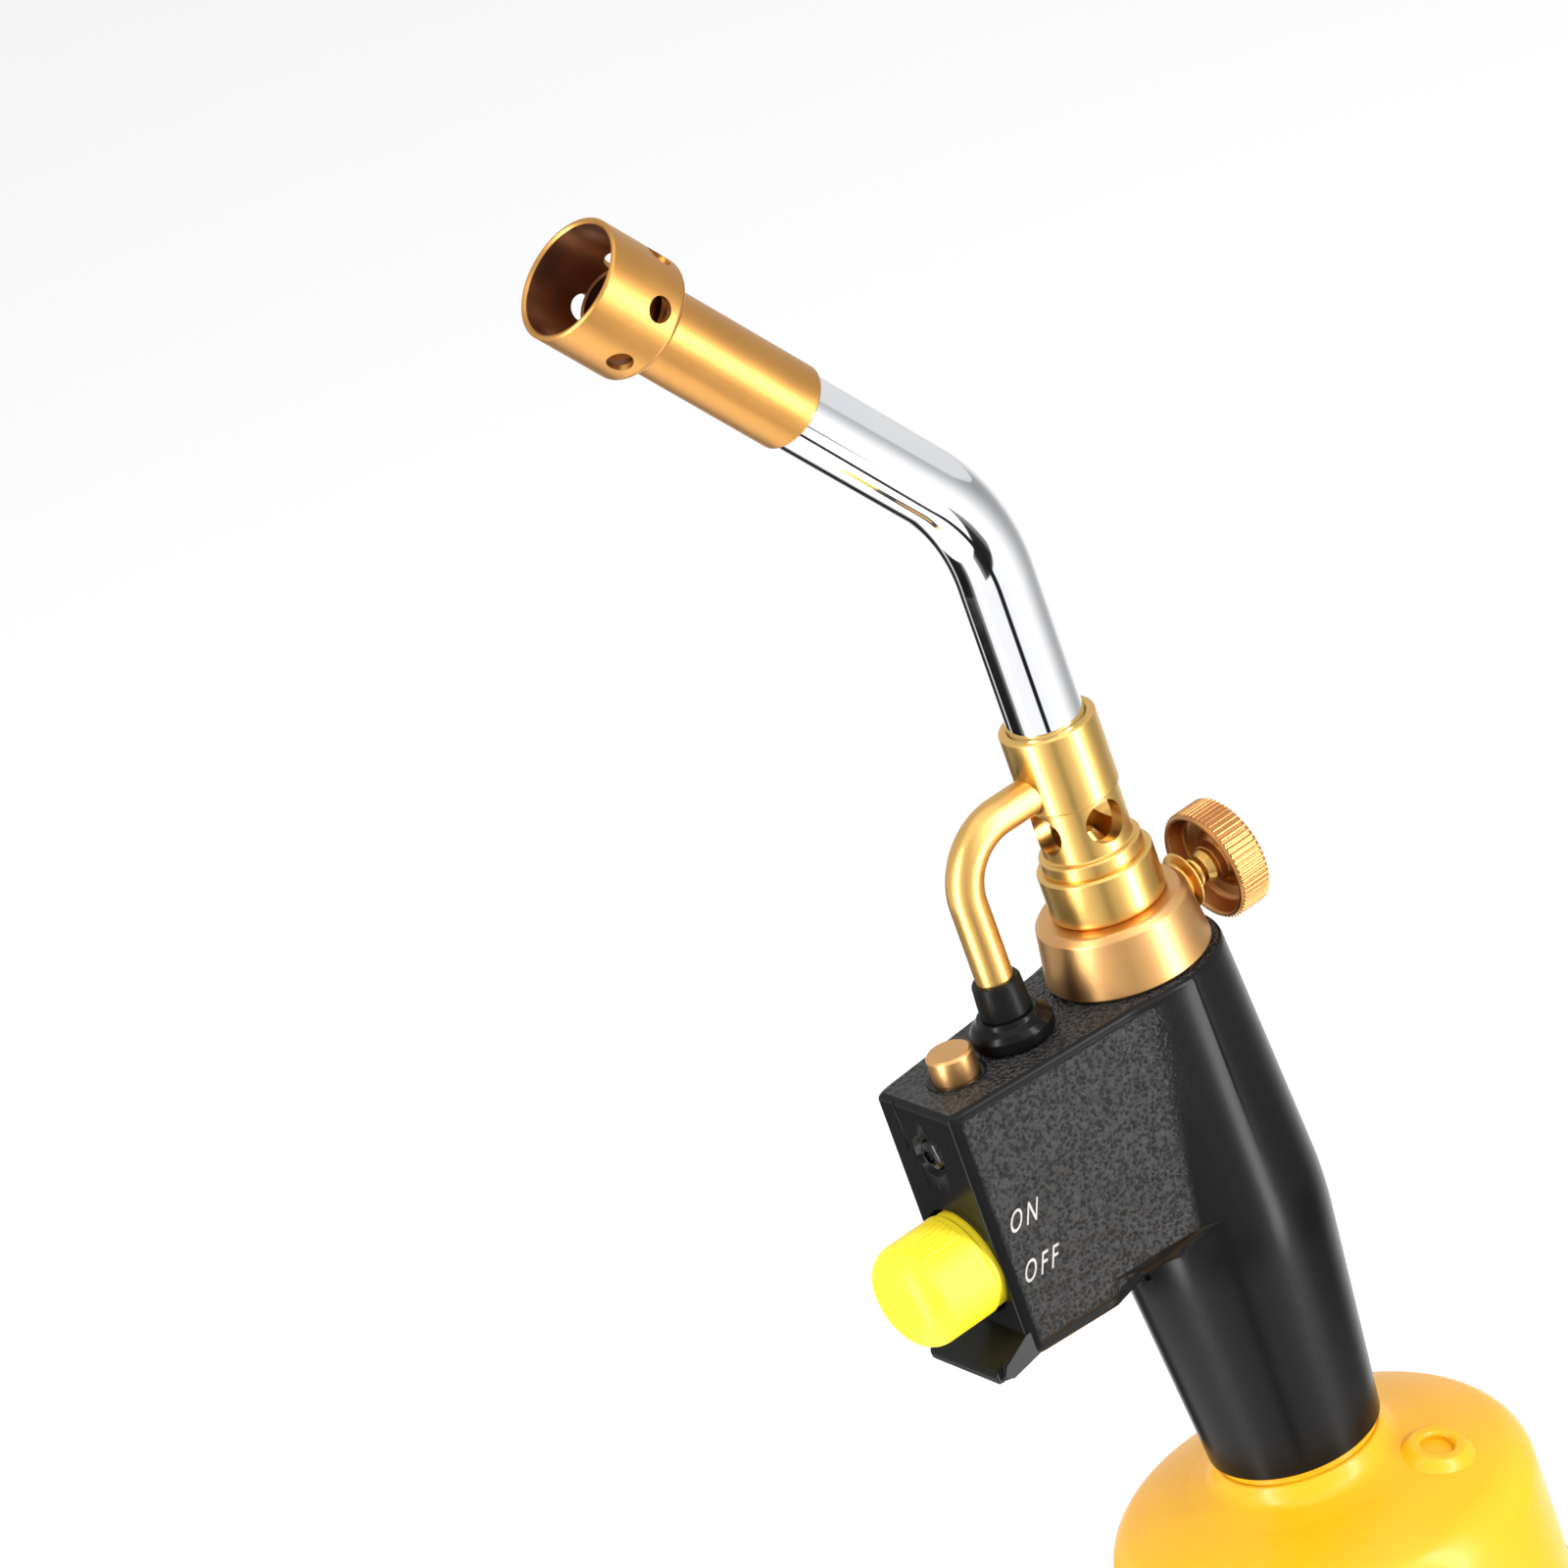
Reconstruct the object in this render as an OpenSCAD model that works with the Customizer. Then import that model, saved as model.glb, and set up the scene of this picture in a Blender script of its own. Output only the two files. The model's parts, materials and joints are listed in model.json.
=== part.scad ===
// Trigger-start propane torch standing on its gas cylinder.
// +Z is up, +X is the side the trigger and the flame face, and the origin is
// the centre of the cylinder's foot. Millimetres.

/* [Gas cylinder] */
// Radius of the cylinder's straight wall
cyl_r = 38.1; // [36:0.1:40]
// Height of the torch sleeve's lower edge above the floor
head_z = 265; // [240:1:290]
// Thickness of the cylinder's sheet steel
cyl_wall = 1.2; // [0.8:0.1:1.6]
// Radius of the threaded neck
neck_r = 12.7; // [12.6:0.05:12.75]

/* [Body casting] */
// Radius of the sleeve at its lower edge
sleeve_r = 15.5; // [15.4:0.1:16.2]
// Radius of the column at its widest
column_r = 19.3; // [18.5:0.1:20]
// Height of the widest place above the sleeve's lower edge
column_z = 46; // [42:1:50]
// Radius of the column at the top
shoulder_r = 16.1; // [15.8:0.1:16.6]
// Height of the top face
top_z = 96.3; // [94:0.1:98]
// Height of the box's underside
box_z = 48.6; // [46:0.1:50]
// Distance of the front face from the column's axis
face_x = 48.8; // [47:0.1:50]
// Half of the box's width at the front face
face_w = 10.5; // [10.4:0.1:11]
// How much wider each side gets per millimetre towards the column
side_slope = 0.1045; // [0.09:0.0005:0.12]

/* [Trigger and lock] */
// Height of the trigger's axis
trig_z = 65.6; // [64:0.1:67]
// Radius of the trigger
trig_r = 9.5; // [9:0.1:9.6]
// How far the trigger is pressed
trig_travel = 6; // [4:0.5:6]
// Distance of the lock button from the column's axis
lock_x = 38.7; // [37.5:0.1:39.5]
// Radius of the lock button
lock_r = 4.1; // [3.8:0.1:4.3]

/* [Burner] */
// Outer radius of the bent burner tube
tube_r = 6.7; // [6.4:0.1:6.9]
// Height of the corner of the tube's centre line
bend_z = 182.4; // [175:1:190]
// Angle that the tube turns forward
bend_angle = 37.1; // [30:0.1:45]
// Radius of the bend's centre line
bend_r = 36; // [30:1:45]
// Radius of the nozzle's barrel
barrel_r = 7.44; // [7.3:0.02:7.8]
// Radius of the nozzle's cup
cup_r = 10.63; // [10.2:0.01:11]

/* [Hidden] */
$fn = 96;
fit = 0.06;                       // running clearance on a radius
wall = 1.7;                       // casting wall
lap = 0.3;                        // how far a straight length runs into a bend
thin = 0.02;                      // how much a bend draws the section in

// Heights above the sleeve's lower edge, going up the brass column
housing_z0 = top_z + 0.3;
housing_z1 = 107.9;
housing_r0 = 14.6;
housing_r1 = 13.1;
collar_z1 = 116.8;
collar_r = 10.1;
flange_z1 = 119.5;
flange_r = 8.9;
mixer_r = 7.9;
mixer_z1 = 129.2;
air_hole_z = 125.1;
air_hole_r = 3.75;
socket_r = 8.42;
socket_z1 = 143.3;
tube_z0 = 136.8;
tube_wall = 0.8;

// The igniter lead's conduit
conduit_r = 3.28;
conduit_x = 25.65;
conduit_z = 133;
conduit_bend = 11;

// Distances along the nozzle's axis from the corner of the tube's centre line
bend_len = bend_r * tan(bend_angle / 2);
tube_end = 60;
barrel_s0 = 42.8;
barrel_s1 = 75.9;
mouth_s = 92.2;

// The regulator knob
knob_z = 103;
knob_x0 = -19.3;
knob_w = 6.7;
knob_r = 10;

trig_x0 = 50.1;
trig_x1 = 64.4;
carriage_x = 24;

brass = [0.86, 0.65, 0.30];
satin_brass = [0.83, 0.62, 0.36];
black = [0.08, 0.08, 0.09];
steel = [0.75, 0.76, 0.78];
yellow = [0.98, 0.74, 0.10];

// ---------------------------------------------------------------- helpers

// Moves a piece from the head's own heights to the floor's.
module on_head() { translate([0, 0, head_z]) children(); }

// Stands children on the nozzle's axis: their own +Z runs along it.
module on_nozzle(s = 0) {
    on_head() translate([0, 0, bend_z]) rotate([0, bend_angle, 0]) translate([0, 0, s]) children();
}

// A round rod along +X.
module rod_x(x0, x1, r, z = 0, y = 0) {
    translate([x0, y, z]) rotate([0, 90, 0]) cylinder(h = x1 - x0, r = r);
}

// A tube standing on z0.
module ring(z0, z1, r_out, r_in) {
    translate([0, 0, z0]) difference() {
        cylinder(h = z1 - z0, r = r_out);
        translate([0, 0, -1]) cylinder(h = z1 - z0 + 2, r = r_in);
    }
}

// A tube along +X.
module ring_x(x0, x1, r_out, r_in, z = 0) {
    difference() {
        rod_x(x0, x1, r_out, z);
        rod_x(x0 - 1, x1 + 1, r_in, z);
    }
}

// A curved round bar of centre-line radius bend, starting at the origin
// straight up and turning towards +X.
module elbow(r, bend, angle, r_in = 0) {
    translate([bend, 0, 0]) mirror([1, 0, 0]) rotate([90, 0, 0])
        rotate_extrude(angle = angle) translate([bend, 0]) difference() {
            circle(r = r);
            if (r_in > 0) circle(r = r_in);
        }
}

// Half the box's width at distance x from the column's axis.
function half_w(x) = face_w + side_slope * (face_x - x);

// Plan of the box between two distances, drawn in by an even amount.
module box_plan(x0, x1, inset = 0) {
    polygon([
        [x0, -half_w(x0) + inset], [x1, -half_w(x1) + inset],
        [x1, half_w(x1) - inset], [x0, half_w(x0) - inset],
    ]);
}

// Rings round a thread's rod: crests at r, depth d.
module thread_grooves(r, z0, pitch, count, d) {
    for (i = [0 : count - 1]) translate([0, 0, z0 + i * pitch])
        rotate_extrude() polygon([
            [r - d, -0.06], [r + 0.5, -0.45], [r + 0.5, 0.45], [r - d, 0.06],
        ]);
}

// ------------------------------------------------------------ gas cylinder

// Profile of the pressed shell, from the crown down, drawn in by a wall.
crown_z = head_z - 3.5;
crown_sphere = 75.3;
shoulder = 8.8;
function shoulder_angle(in) =
    asin((cyl_r - shoulder) / (crown_sphere - shoulder));
shoulder_z = crown_z - crown_sphere + (crown_sphere - shoulder) * cos(shoulder_angle(0));
base_dish_z = 9;

function shell_profile(in) = concat(
    [[0, crown_z - in]],
    [for (i = [1 : 8]) let (a = shoulder_angle(0) * i / 8)
        [(crown_sphere - in) * sin(a), crown_z - crown_sphere + (crown_sphere - in) * cos(a)]],
    [for (i = [1 : 8]) let (a = shoulder_angle(0) + (90 - shoulder_angle(0)) * i / 8)
        [cyl_r - shoulder + (shoulder - in) * sin(a), shoulder_z + (shoulder - in) * cos(a)]],
    [for (i = [0 : 6]) let (a = 90 * i / 6)
        [cyl_r - 7 + (7 - in) * cos(a), 10 - (7 - in) * sin(a)]],
    [[26, base_dish_z - 4.5 + in], [0, base_dish_z + in]]
);

module gas_cylinder() color(yellow) difference() {
    union() {
        rotate_extrude() polygon(shell_profile(0));
        // the raised seat of the neck
        rotate_extrude() polygon([
            [0, crown_z - 4], [19.5, crown_z - 4], [18.6, crown_z - 1.9], [16.8, crown_z + 0.8],
            [15.6, crown_z + 1.9], [0, crown_z + 1.9],
        ]);
    }
    rotate_extrude() polygon(shell_profile(cyl_wall));
    // the neck's hole and the relief valve's hole
    translate([0, 0, crown_z - 9]) cylinder(h = 20, r = 10.5);
    relief_place() translate([0, 0, -8]) cylinder(h = 20, r = 2.2);
}

// The steel ring the shell stands on: its top follows the shell's corner.
module foot_ring() color(black) rotate_extrude() difference() {
    polygon([[31.8, 0], [36.6, 0], [37.4, 0.8], [37.4, 8.5], [31.8, 8.5]]);
    polygon(shell_profile(-0.03));
}

module cylinder_label() color(black)
    ring(44, head_z - 41.4, cyl_r + 0.22, cyl_r + 0.02);

module cylinder_neck() color(brass) difference() {
    union() {
        translate([0, 0, crown_z + 1.95]) cylinder(h = 1.35, r = 14.4);
        translate([0, 0, crown_z - 6]) cylinder(h = 8, r = 10.4);
        translate([0, 0, crown_z + 2]) cylinder(h = 16, r = neck_r);
    }
    translate([0, 0, crown_z - 8]) cylinder(h = 40, r = 3.4);
    translate([0, 0, crown_z + 12.5]) cylinder(h = 10, r = 6.5);
    translate([0, 0, crown_z]) thread_grooves(neck_r, 5.6, 1.27, 8, 0.55);
}

module cylinder_valve_core() color(steel) translate([0, 0, crown_z]) {
    translate([0, 0, -2]) cylinder(h = 12, r = 3.3);
    translate([0, 0, 9.5]) cylinder(h = 3.4, r = 1.1);
}

relief_r = 24;
relief_azimuth = 126;
relief_tilt = asin(relief_r / crown_sphere);
module relief_place() {
    rotate([0, 0, relief_azimuth]) translate([0, 0, crown_z - crown_sphere])
        rotate([0, relief_tilt, 0]) translate([0, 0, crown_sphere]) children();
}

module relief_boss() color(yellow) relief_place() difference() {
    translate([0, 0, 0.05]) cylinder(h = 1.35, r = 5.5);
    translate([0, 0, -1]) cylinder(h = 5, r = 2.9);
}

module relief_valve() color(steel) relief_place() {
    translate([0, 0, -3]) cylinder(h = 3.2, r = 2.15);
    translate([0, 0, 0.06]) cylinder(h = 0.5, r = 2.8);
}

// A rubber washer on the neck's rim: it seals the socket above.
module inlet_seal() color(black)
    ring(crown_z + 18.02, crown_z + 19.5, 12.2, 7.2);

// ------------------------------------------------------------ body casting

module column_profile(grow = 0, z_low = 0, z_high = top_z) {
    polygon([
        [0, z_low], [sleeve_r + grow, z_low], [column_r + grow, column_z],
        [shoulder_r + grow, z_high], [0, z_high],
    ]);
}

plate_x0 = face_x - 1.9;
edge_cut = 1.2;
screw_z = 86.3;
shelf_z = 87;

// A square prism laid along one of the box's long edges, to chamfer it.
module long_edge(side, z) {
    translate([face_x, side * face_w, z]) rotate([0, 0, -side * atan(side_slope)])
        rotate([45, 0, 0]) cube([120, edge_cut * sqrt(2), edge_cut * sqrt(2)], center = true);
}

module box_edges() {
    for (side = [-1, 1]) {
        long_edge(side, top_z);
        long_edge(side, box_z);
    }
}

module body_casting() color(black) on_head() difference() {
    union() {
        difference() {
            union() {
                rotate_extrude() column_profile();
                difference() {
                    translate([0, 0, box_z]) linear_extrude(top_z - box_z)
                        box_plan(0, plate_x0 - 0.06);
                    box_edges();
                }
            }
            rotate_extrude() polygon([
                [0, -1], [14.1, -1], [14.1, 22], [column_r - 2.3, column_z],
                [shoulder_r - 2.2, top_z - 3], [0, top_z - 3],
            ]);
            translate([0, 0, box_z + 2]) linear_extrude(top_z - box_z - 5)
                box_plan(6, plate_x0 + 1, wall);
        }
        // boss for the front screw, with a shelf for the lock's spring
        translate([42.9, -4.2, 82.6]) cube([plate_x0 - 42.96, 8.4, top_z - 2.9 - 82.6]);
        translate([34.6, -4.2, shelf_z]) cube([8.4, 8.4, 1.2]);
    }
    // room for the trigger between the side walls
    rod_x(42.5, plate_x0 + 1, trig_r + 0.25, trig_z);
    rod_x(43.2, plate_x0 + 1, 1.52, screw_z);
    translate([lock_x, 0, shelf_z - 1]) cylinder(h = 4, r = 1.75);
    // holes in the top
    translate([0, 0, top_z - 5]) cylinder(h = 10, r = 9.1);
    translate([conduit_x, 0, top_z - 5]) cylinder(h = 10, r = 5.05);
    translate([lock_x, 0, top_z - 3.1]) cylinder(h = 10, r = 5.55);
}

// Front plate with the lip that guards the trigger from below.
lip_x = 56.5;
module front_plate() color(black) on_head() difference() {
    union() {
        translate([0, 0, box_z]) linear_extrude(top_z - box_z) polygon([
            [plate_x0, -half_w(plate_x0)], [face_x - 1, -half_w(face_x - 1)],
            [face_x, -face_w + 0.9], [face_x, face_w - 0.9],
            [face_x - 1, half_w(face_x - 1)], [plate_x0, half_w(plate_x0)],
        ]);
        rotate([90, 0, 0]) linear_extrude(2 * 9.2, center = true) polygon([
            [plate_x0, box_z + 0.6], [lip_x - 1, 47.7], [lip_x, 48.4], [lip_x, 49.6],
            [lip_x - 0.6, 50.1], [face_x - 0.1, 53.6], [plate_x0, 53.6],
        ]);
    }
    box_edges();
    translate([face_x, 0, top_z]) rotate([0, 45, 0])
        cube([edge_cut * sqrt(2), 40, edge_cut * sqrt(2)], center = true);
    rod_x(plate_x0 - 8, face_x + 20, trig_r + 0.1, trig_z);
    rod_x(face_x - 1.3, face_x + 1, 3.9, screw_z);
    rod_x(plate_x0 - 1, face_x, 1.65, screw_z);
    // seam beside the screw
    translate([face_x - 0.3, -5.6, screw_z]) cube([1, 0.25, 20]);
}

module plate_screw() color([0.16, 0.16, 0.17]) on_head() translate([0, 0, screw_z])
    rotate([0, 90, 0]) difference() {
        rotate_extrude() polygon([
            [0, 43.3], [1.5, 43.3], [1.5, face_x - 1.28], [3, face_x - 1.28],
            [3, face_x - 0.9], [2.6, face_x - 0.2], [1.8, face_x + 0.15], [0, face_x + 0.15],
        ]);
        translate([0, 0, face_x - 0.8]) cylinder(h = 3, r = 1.25, $fn = 6);
    }

module inlet_socket() color(brass) on_head() difference() {
    union() {
        translate([0, 0, 1.9]) cylinder(h = 19.6, r = 13.95);
        translate([0, 0, 21.5]) cylinder(h = 4, r = 9.5);
    }
    translate([0, 0, 1]) cylinder(h = 15, r = neck_r + fit);
    translate([0, 0, 15.9]) cylinder(h = 2.2, r = 6.9);
    translate([0, 0, 17]) cylinder(h = 10, r = 2.6);
    thread_relief();
}

// Grooves cut outwards in the socket's wall.
module thread_relief() {
    for (i = [0 : 7]) translate([0, 0, 3.2 + 1.27 * i]) rotate_extrude() polygon([
        [neck_r, -0.42], [neck_r + 0.5, -0.06], [neck_r + 0.5, 0.06], [neck_r, 0.42],
    ]);
}

module pin_depressor() color(steel) on_head() difference() {
    union() {
        translate([0, 0, 9.6]) cylinder(h = 11, r = 1.2);
        translate([0, 0, 15.95]) cylinder(h = 2.05, r = 6.8);
    }
    for (i = [0 : 5]) rotate([0, 0, 60 * i]) translate([4.2, 0, 15]) cylinder(h = 4, r = 1);
}

module inlet_filter() color([0.62, 0.52, 0.36]) on_head()
    translate([0, 0, 21.2]) cylinder(h = 4.2, r = 2.55);

block_z0 = 25.5;
block_z1 = 58;
gas_pin_z = 54;
module valve_block() color(brass) on_head() difference() {
    union() {
        translate([0, 0, block_z0]) cylinder(h = block_z1 - block_z0, r = 9.5);
        translate([0, 0, block_z0]) cylinder(h = 4, r = 13.9);
        rod_x(0, 12.5, 3.4, gas_pin_z);
    }
    translate([0, 0, block_z0 - 1]) cylinder(h = gas_pin_z - block_z0, r = 2.4);
    rod_x(-2, 14, 1.56, gas_pin_z);
    translate([-5, 0, gas_pin_z - 3]) cylinder(h = 10, r = 2.4);
    rod_x(-5, 0, 1.2, gas_pin_z);
}

pipe_x = -5;
module feed_pipe() color(brass) on_head() translate([pipe_x, 0, 0])
    ring(block_z1, 76, 3.6, 2.4);

module outlet_block() color(brass) on_head() difference() {
    union() {
        translate([0, 0, 76]) cylinder(h = top_z - 3.05 - 76, r = 12.9);
        translate([0, 0, top_z - 4]) cylinder(h = 6, r = 9.05);
    }
    translate([pipe_x, 0, 75]) cylinder(h = 10, r = 2.4);
    translate([pipe_x, 0, 82]) rotate([0, 90, 0]) cylinder(h = 6, r = 2);
    translate([0, 0, 80]) cylinder(h = 40, r = 2);
}

// ------------------------------------------------- regulator and air mixer

module housing_gasket() color(black) on_head() ring(top_z, housing_z0, 14, 9.1);

module regulator_housing() color(satin_brass) on_head() difference() {
    rotate_extrude() polygon([
        [0, housing_z0], [housing_r0 - 0.5, housing_z0], [housing_r0, housing_z0 + 0.5],
        [housing_r1 + 0.1, housing_z1 - 1.1], [housing_r1 - 1, housing_z1], [0, housing_z1],
    ]);
    translate([0, 0, housing_z0 - 1]) cylinder(h = 3, r = 9.1);
    translate([0, 0, housing_z0 - 1]) cylinder(h = knob_z - housing_z0 + 1, r = 2);
    translate([3.2, 0, knob_z - 1]) cylinder(h = 8, r = 1.2);
    rod_x(-2, 3.2, 1.2, knob_z);
    rod_x(-20, -1.5, 2.5, knob_z);
    rod_x(-20, -9.5, 3.25, knob_z);
}

// Flared gland that holds the regulator's stem.
module needle_gland() color(brass) on_head() translate([0, 0, knob_z]) rotate([0, -90, 0])
    rotate_extrude() polygon([
        [1.96, 9.55], [3.2, 9.55], [3.2, 13.7], [3.3, 14.6], [5.2, 14.7], [5.2, 15.2],
        [3.1, 15.9], [3, 16.6], [1.96, 16.6],
    ]);

module jet_collar() color(brass) on_head() difference() {
    rotate_extrude() polygon([
        [0, housing_z1], [collar_r - 0.6, housing_z1], [collar_r, housing_z1 + 0.6],
        [collar_r, collar_z1 - 0.5], [collar_r - 0.5, collar_z1], [0, collar_z1],
    ]);
    translate([0, 0, housing_z1 - 1]) cylinder(h = 20, r = 3.5);
    translate([0, 0, housing_z1 - 1]) cylinder(h = 3, r = 5.2);
}

module gas_jet() color(brass) on_head() difference() {
    union() {
        translate([0, 0, housing_z1 + 0.02]) cylinder(h = 1.9, r = 5.1);
        translate([0, 0, housing_z1 + 1]) cylinder(h = 9.8, r = 3.45);
        translate([0, 0, housing_z1 + 10.8]) cylinder(h = 3, r1 = 3.45, r2 = 1.4);
    }
    translate([0, 0, housing_z1 - 1]) cylinder(h = 11, r = 1.4);
    translate([0, 0, housing_z1]) cylinder(h = 20, r = 0.3);
    translate([2.6, 0, housing_z1 - 1]) cylinder(h = 1.6, r = 1.9);
}

module air_mixer() color(brass) on_head() difference() {
    rotate_extrude() polygon([
        [5.4, collar_z1], [flange_r, collar_z1], [flange_r, flange_z1 - 0.4],
        [flange_r - 0.4, flange_z1], [mixer_r, flange_z1], [mixer_r, mixer_z1],
        [5.4, mixer_z1],
    ]);
    for (i = [0 : 3]) rotate([0, 0, 90 * i]) rod_x(4, 12, air_hole_r, air_hole_z);
}

module tube_socket() color(brass) on_head() difference() {
    rotate_extrude() polygon([
        [4.2, mixer_z1], [socket_r - 0.3, mixer_z1], [socket_r, mixer_z1 + 0.4],
        [socket_r, socket_z1 - 0.4], [socket_r - 0.4, socket_z1],
        [tube_r + 0.03, socket_z1], [tube_r + 0.03, tube_z0 - 0.03], [4.2, tube_z0 - 0.03],
    ]);
    rod_x(6.2, 20, conduit_r + 0.02, conduit_z);
    rod_x(0, 20, 1.6, conduit_z);
}

// ------------------------------------------------------------- burner tube

// A straight length, a bend and a second straight length, for one radius.
module tube_run(r, end) {
    on_head() {
        translate([0, 0, tube_z0 - end])
            cylinder(h = bend_z - bend_len - tube_z0 + end + lap, r = r);
        translate([0, 0, bend_z - bend_len]) elbow(r - thin, bend_r, bend_angle);
    }
    on_nozzle(bend_len - lap) cylinder(h = tube_end - bend_len + lap + end, r = r);
}

module burner_tube() color(steel) difference() {
    tube_run(tube_r, 0);
    tube_run(tube_r - tube_wall, 1);
}

// ------------------------------------------------------ igniter and its lead

module conduit_tube() color(brass) on_head() {
    arc_x = conduit_x - conduit_bend;
    arc_z = conduit_z - conduit_bend;
    translate([conduit_x, 0, 0]) ring(99.4, arc_z, conduit_r, conduit_r - 0.9);
    translate([conduit_x, 0, arc_z]) rotate([0, 0, 180])
        elbow(conduit_r, conduit_bend, 90, conduit_r - 0.9);
    ring_x(6.25, arc_x, conduit_r, conduit_r - 0.9, conduit_z);
}

module conduit_boot() color(black) on_head() translate([conduit_x, 0, 0]) rotate_extrude() polygon([
    [conduit_r + 0.03, 101.4], [4.5, 101.4], [4.3, 107.2], [3.9, 107.7], [conduit_r + 0.03, 107.7],
]);

module boot_nut() color(black) on_head() translate([conduit_x, 0, 0]) rotate_extrude() polygon([
    [1.9, 90.5], [5, 90.5], [5, top_z], [6.6, top_z + 0.02], [7.2, top_z + 0.6],
    [7.3, top_z + 2.4], [6.9, top_z + 3.4], [5.4, 101.2], [5, 101.38],
    [conduit_r + 0.03, 101.38], [conduit_r + 0.03, 99.38], [1.9, 99.38],
]);

lead_r = 1.25;
lead_turn = 3.5;
lead_low = 85.6;
igniter_x = 15;
piezo_z = 70.5;

// The lead rises from the igniter, crosses to the conduit, follows it into
// the socket and climbs the burner tube to the electrode.
module igniter_lead() color([0.55, 0.1, 0.08]) {
    drop = lead_low - lead_turn;
    rise = lead_low + lead_turn;
    up = conduit_z + lead_turn;
    on_head() {
        translate([igniter_x, 0, piezo_z + 4.62]) cylinder(h = drop - piezo_z - 4.62, r = lead_r);
        translate([igniter_x, 0, drop]) elbow(lead_r, lead_turn, 90);
        rod_x(igniter_x + lead_turn, conduit_x - lead_turn, lead_r, lead_low);
        translate([conduit_x, 0, rise]) rotate([0, 0, 180]) mirror([0, 0, 1])
            elbow(lead_r, lead_turn, 90);
        translate([conduit_x, 0, rise])
            cylinder(h = conduit_z - conduit_bend - rise, r = lead_r);
        translate([conduit_x, 0, conduit_z - conduit_bend]) rotate([0, 0, 180])
            elbow(lead_r, conduit_bend, 90);
        rod_x(lead_turn, conduit_x - conduit_bend, lead_r, conduit_z);
        translate([0, 0, up]) mirror([0, 0, 1]) elbow(lead_r, lead_turn, 90);
        translate([0, 0, up]) cylinder(h = bend_z - bend_len - up + lap, r = lead_r);
        translate([0, 0, bend_z - bend_len]) elbow(lead_r - thin, bend_r, bend_angle);
    }
    on_nozzle(bend_len - lap) cylinder(h = 44 - bend_len + lap, r = lead_r);
}

module electrode_insulator() color([0.93, 0.92, 0.88]) on_nozzle() {
    ring(44, 62, 1.9, 0.62);
    for (i = [0 : 2]) rotate([0, 0, 120 * i]) translate([1.85, -0.5, 46])
        cube([tube_r - tube_wall - 1.95, 1, 3]);
}

module spark_electrode() color(steel) on_nozzle() {
    translate([0, 0, 44.02]) cylinder(h = 34.5, r = 0.6);
    translate([0, 0, 78.5]) sphere(r = 0.6);
}

module igniter_housing() color([0.86, 0.85, 0.8]) on_head() difference() {
    translate([0, -4.6, piezo_z - 4.6]) cube([17, 9.2, 9.2]);
    rod_x(4, 25, 3.06, piezo_z);
}

module igniter_plunger() color([0.2, 0.25, 0.6]) on_head() {
    rod_x(12, 23.5, 3, piezo_z);
    rod_x(23, carriage_x, 2.2, piezo_z);
}

// -------------------------------------------------------- trigger mechanism

guide_x0 = 32.6;
guide_x1 = 38.4;
module trigger_guide() color([0.3, 0.3, 0.32]) on_head() difference() {
    translate([guide_x0, -9, box_z + 2.05]) cube([guide_x1 - guide_x0, 18, 24.5]);
    rod_x(guide_x0 + 1.4, guide_x1 + 1, 7 + fit, trig_z);
    rod_x(guide_x0 - 1, guide_x1, 4.4, trig_z);
}

module selector_collar() color([0.85, 0.85, 0.83]) on_head()
    ring_x(guide_x0 + 1.45, guide_x1, 7, 2.5 + fit, trig_z);

trig_flange_x = trig_x1 - 3.2;
skirt_x = 45.2;
module trigger_cap() color([0.98, 0.93, 0.12]) on_head() difference() {
    translate([0, 0, trig_z]) rotate([0, 90, 0]) rotate_extrude() polygon(concat(
        [[0, trig_x0 + 3], [0, trig_x1]],
        [for (i = [0 : 3]) [(trig_r - 4.5) * (i + 1) / 4, trig_x1 - 0.25 * pow((i + 1) / 4, 2)]],
        [for (i = [1 : 7]) let (a = 90 * i / 7)
            [trig_r - 4.5 + 4.5 * sin(a), trig_x1 - 4.75 + 4.5 * cos(a)]],
        [[trig_r, trig_x0], [trig_r - 0.3, trig_x0 - 0.3], [trig_r - 0.3, skirt_x],
         [trig_r - 1.8, skirt_x], [trig_r - 1.8, trig_flange_x],
         [4, trig_flange_x], [4, trig_x0 + 3]]
    ));
    rod_x(trig_x0, trig_x1 - 3, 2.52, trig_z);
}

module trigger_stem() color(steel) on_head()
    rod_x(carriage_x + 4, trig_x1 - 3.05, 2.5, trig_z);

// A coil drawn as a stack of tilted rings joined by the wire's own overlap.
module coil_x(x0, x1, r, wire, turns, z) {
    pitch = (x1 - x0 - 2 * wire) / (turns - 1);
    for (i = [0 : turns - 1]) translate([x0 + wire + i * pitch, 0, z]) rotate([0, 90, 0])
        rotate_extrude() translate([r, 0]) circle(r = wire, $fn = 16);
    translate([x0 + wire, 0, z + r]) rotate([0, 90, 0])
        cylinder(h = x1 - x0 - 2 * wire, r = wire * 0.6);
}

module trigger_spring() color(steel) on_head()
    coil_x(guide_x1 + 0.1, trig_flange_x - 0.1, 5.6, 0.55, 9, trig_z);

tooth_x = lock_x + 2.4;
carriage_top = 81.9;
module latch_carriage() color([0.8, 0.8, 0.78]) on_head() difference() {
    union() {
        translate([carriage_x, -5, 51.5]) cube([4, 10, carriage_top - 51.5]);
        translate([carriage_x, -3, carriage_top - 2.4]) cube([tooth_x + 1.3 - carriage_x, 6, 2.4]);
        translate([tooth_x, -3, carriage_top - 2.4]) cube([1.3, 6, 5.1]);
    }
    rod_x(carriage_x - 1, carriage_x + 1.5, 1.32, gas_pin_z);
}

module gas_valve_stem() color(steel) on_head()
    rod_x(4.5, carriage_x + 1.5, 1.3, gas_pin_z);

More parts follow.
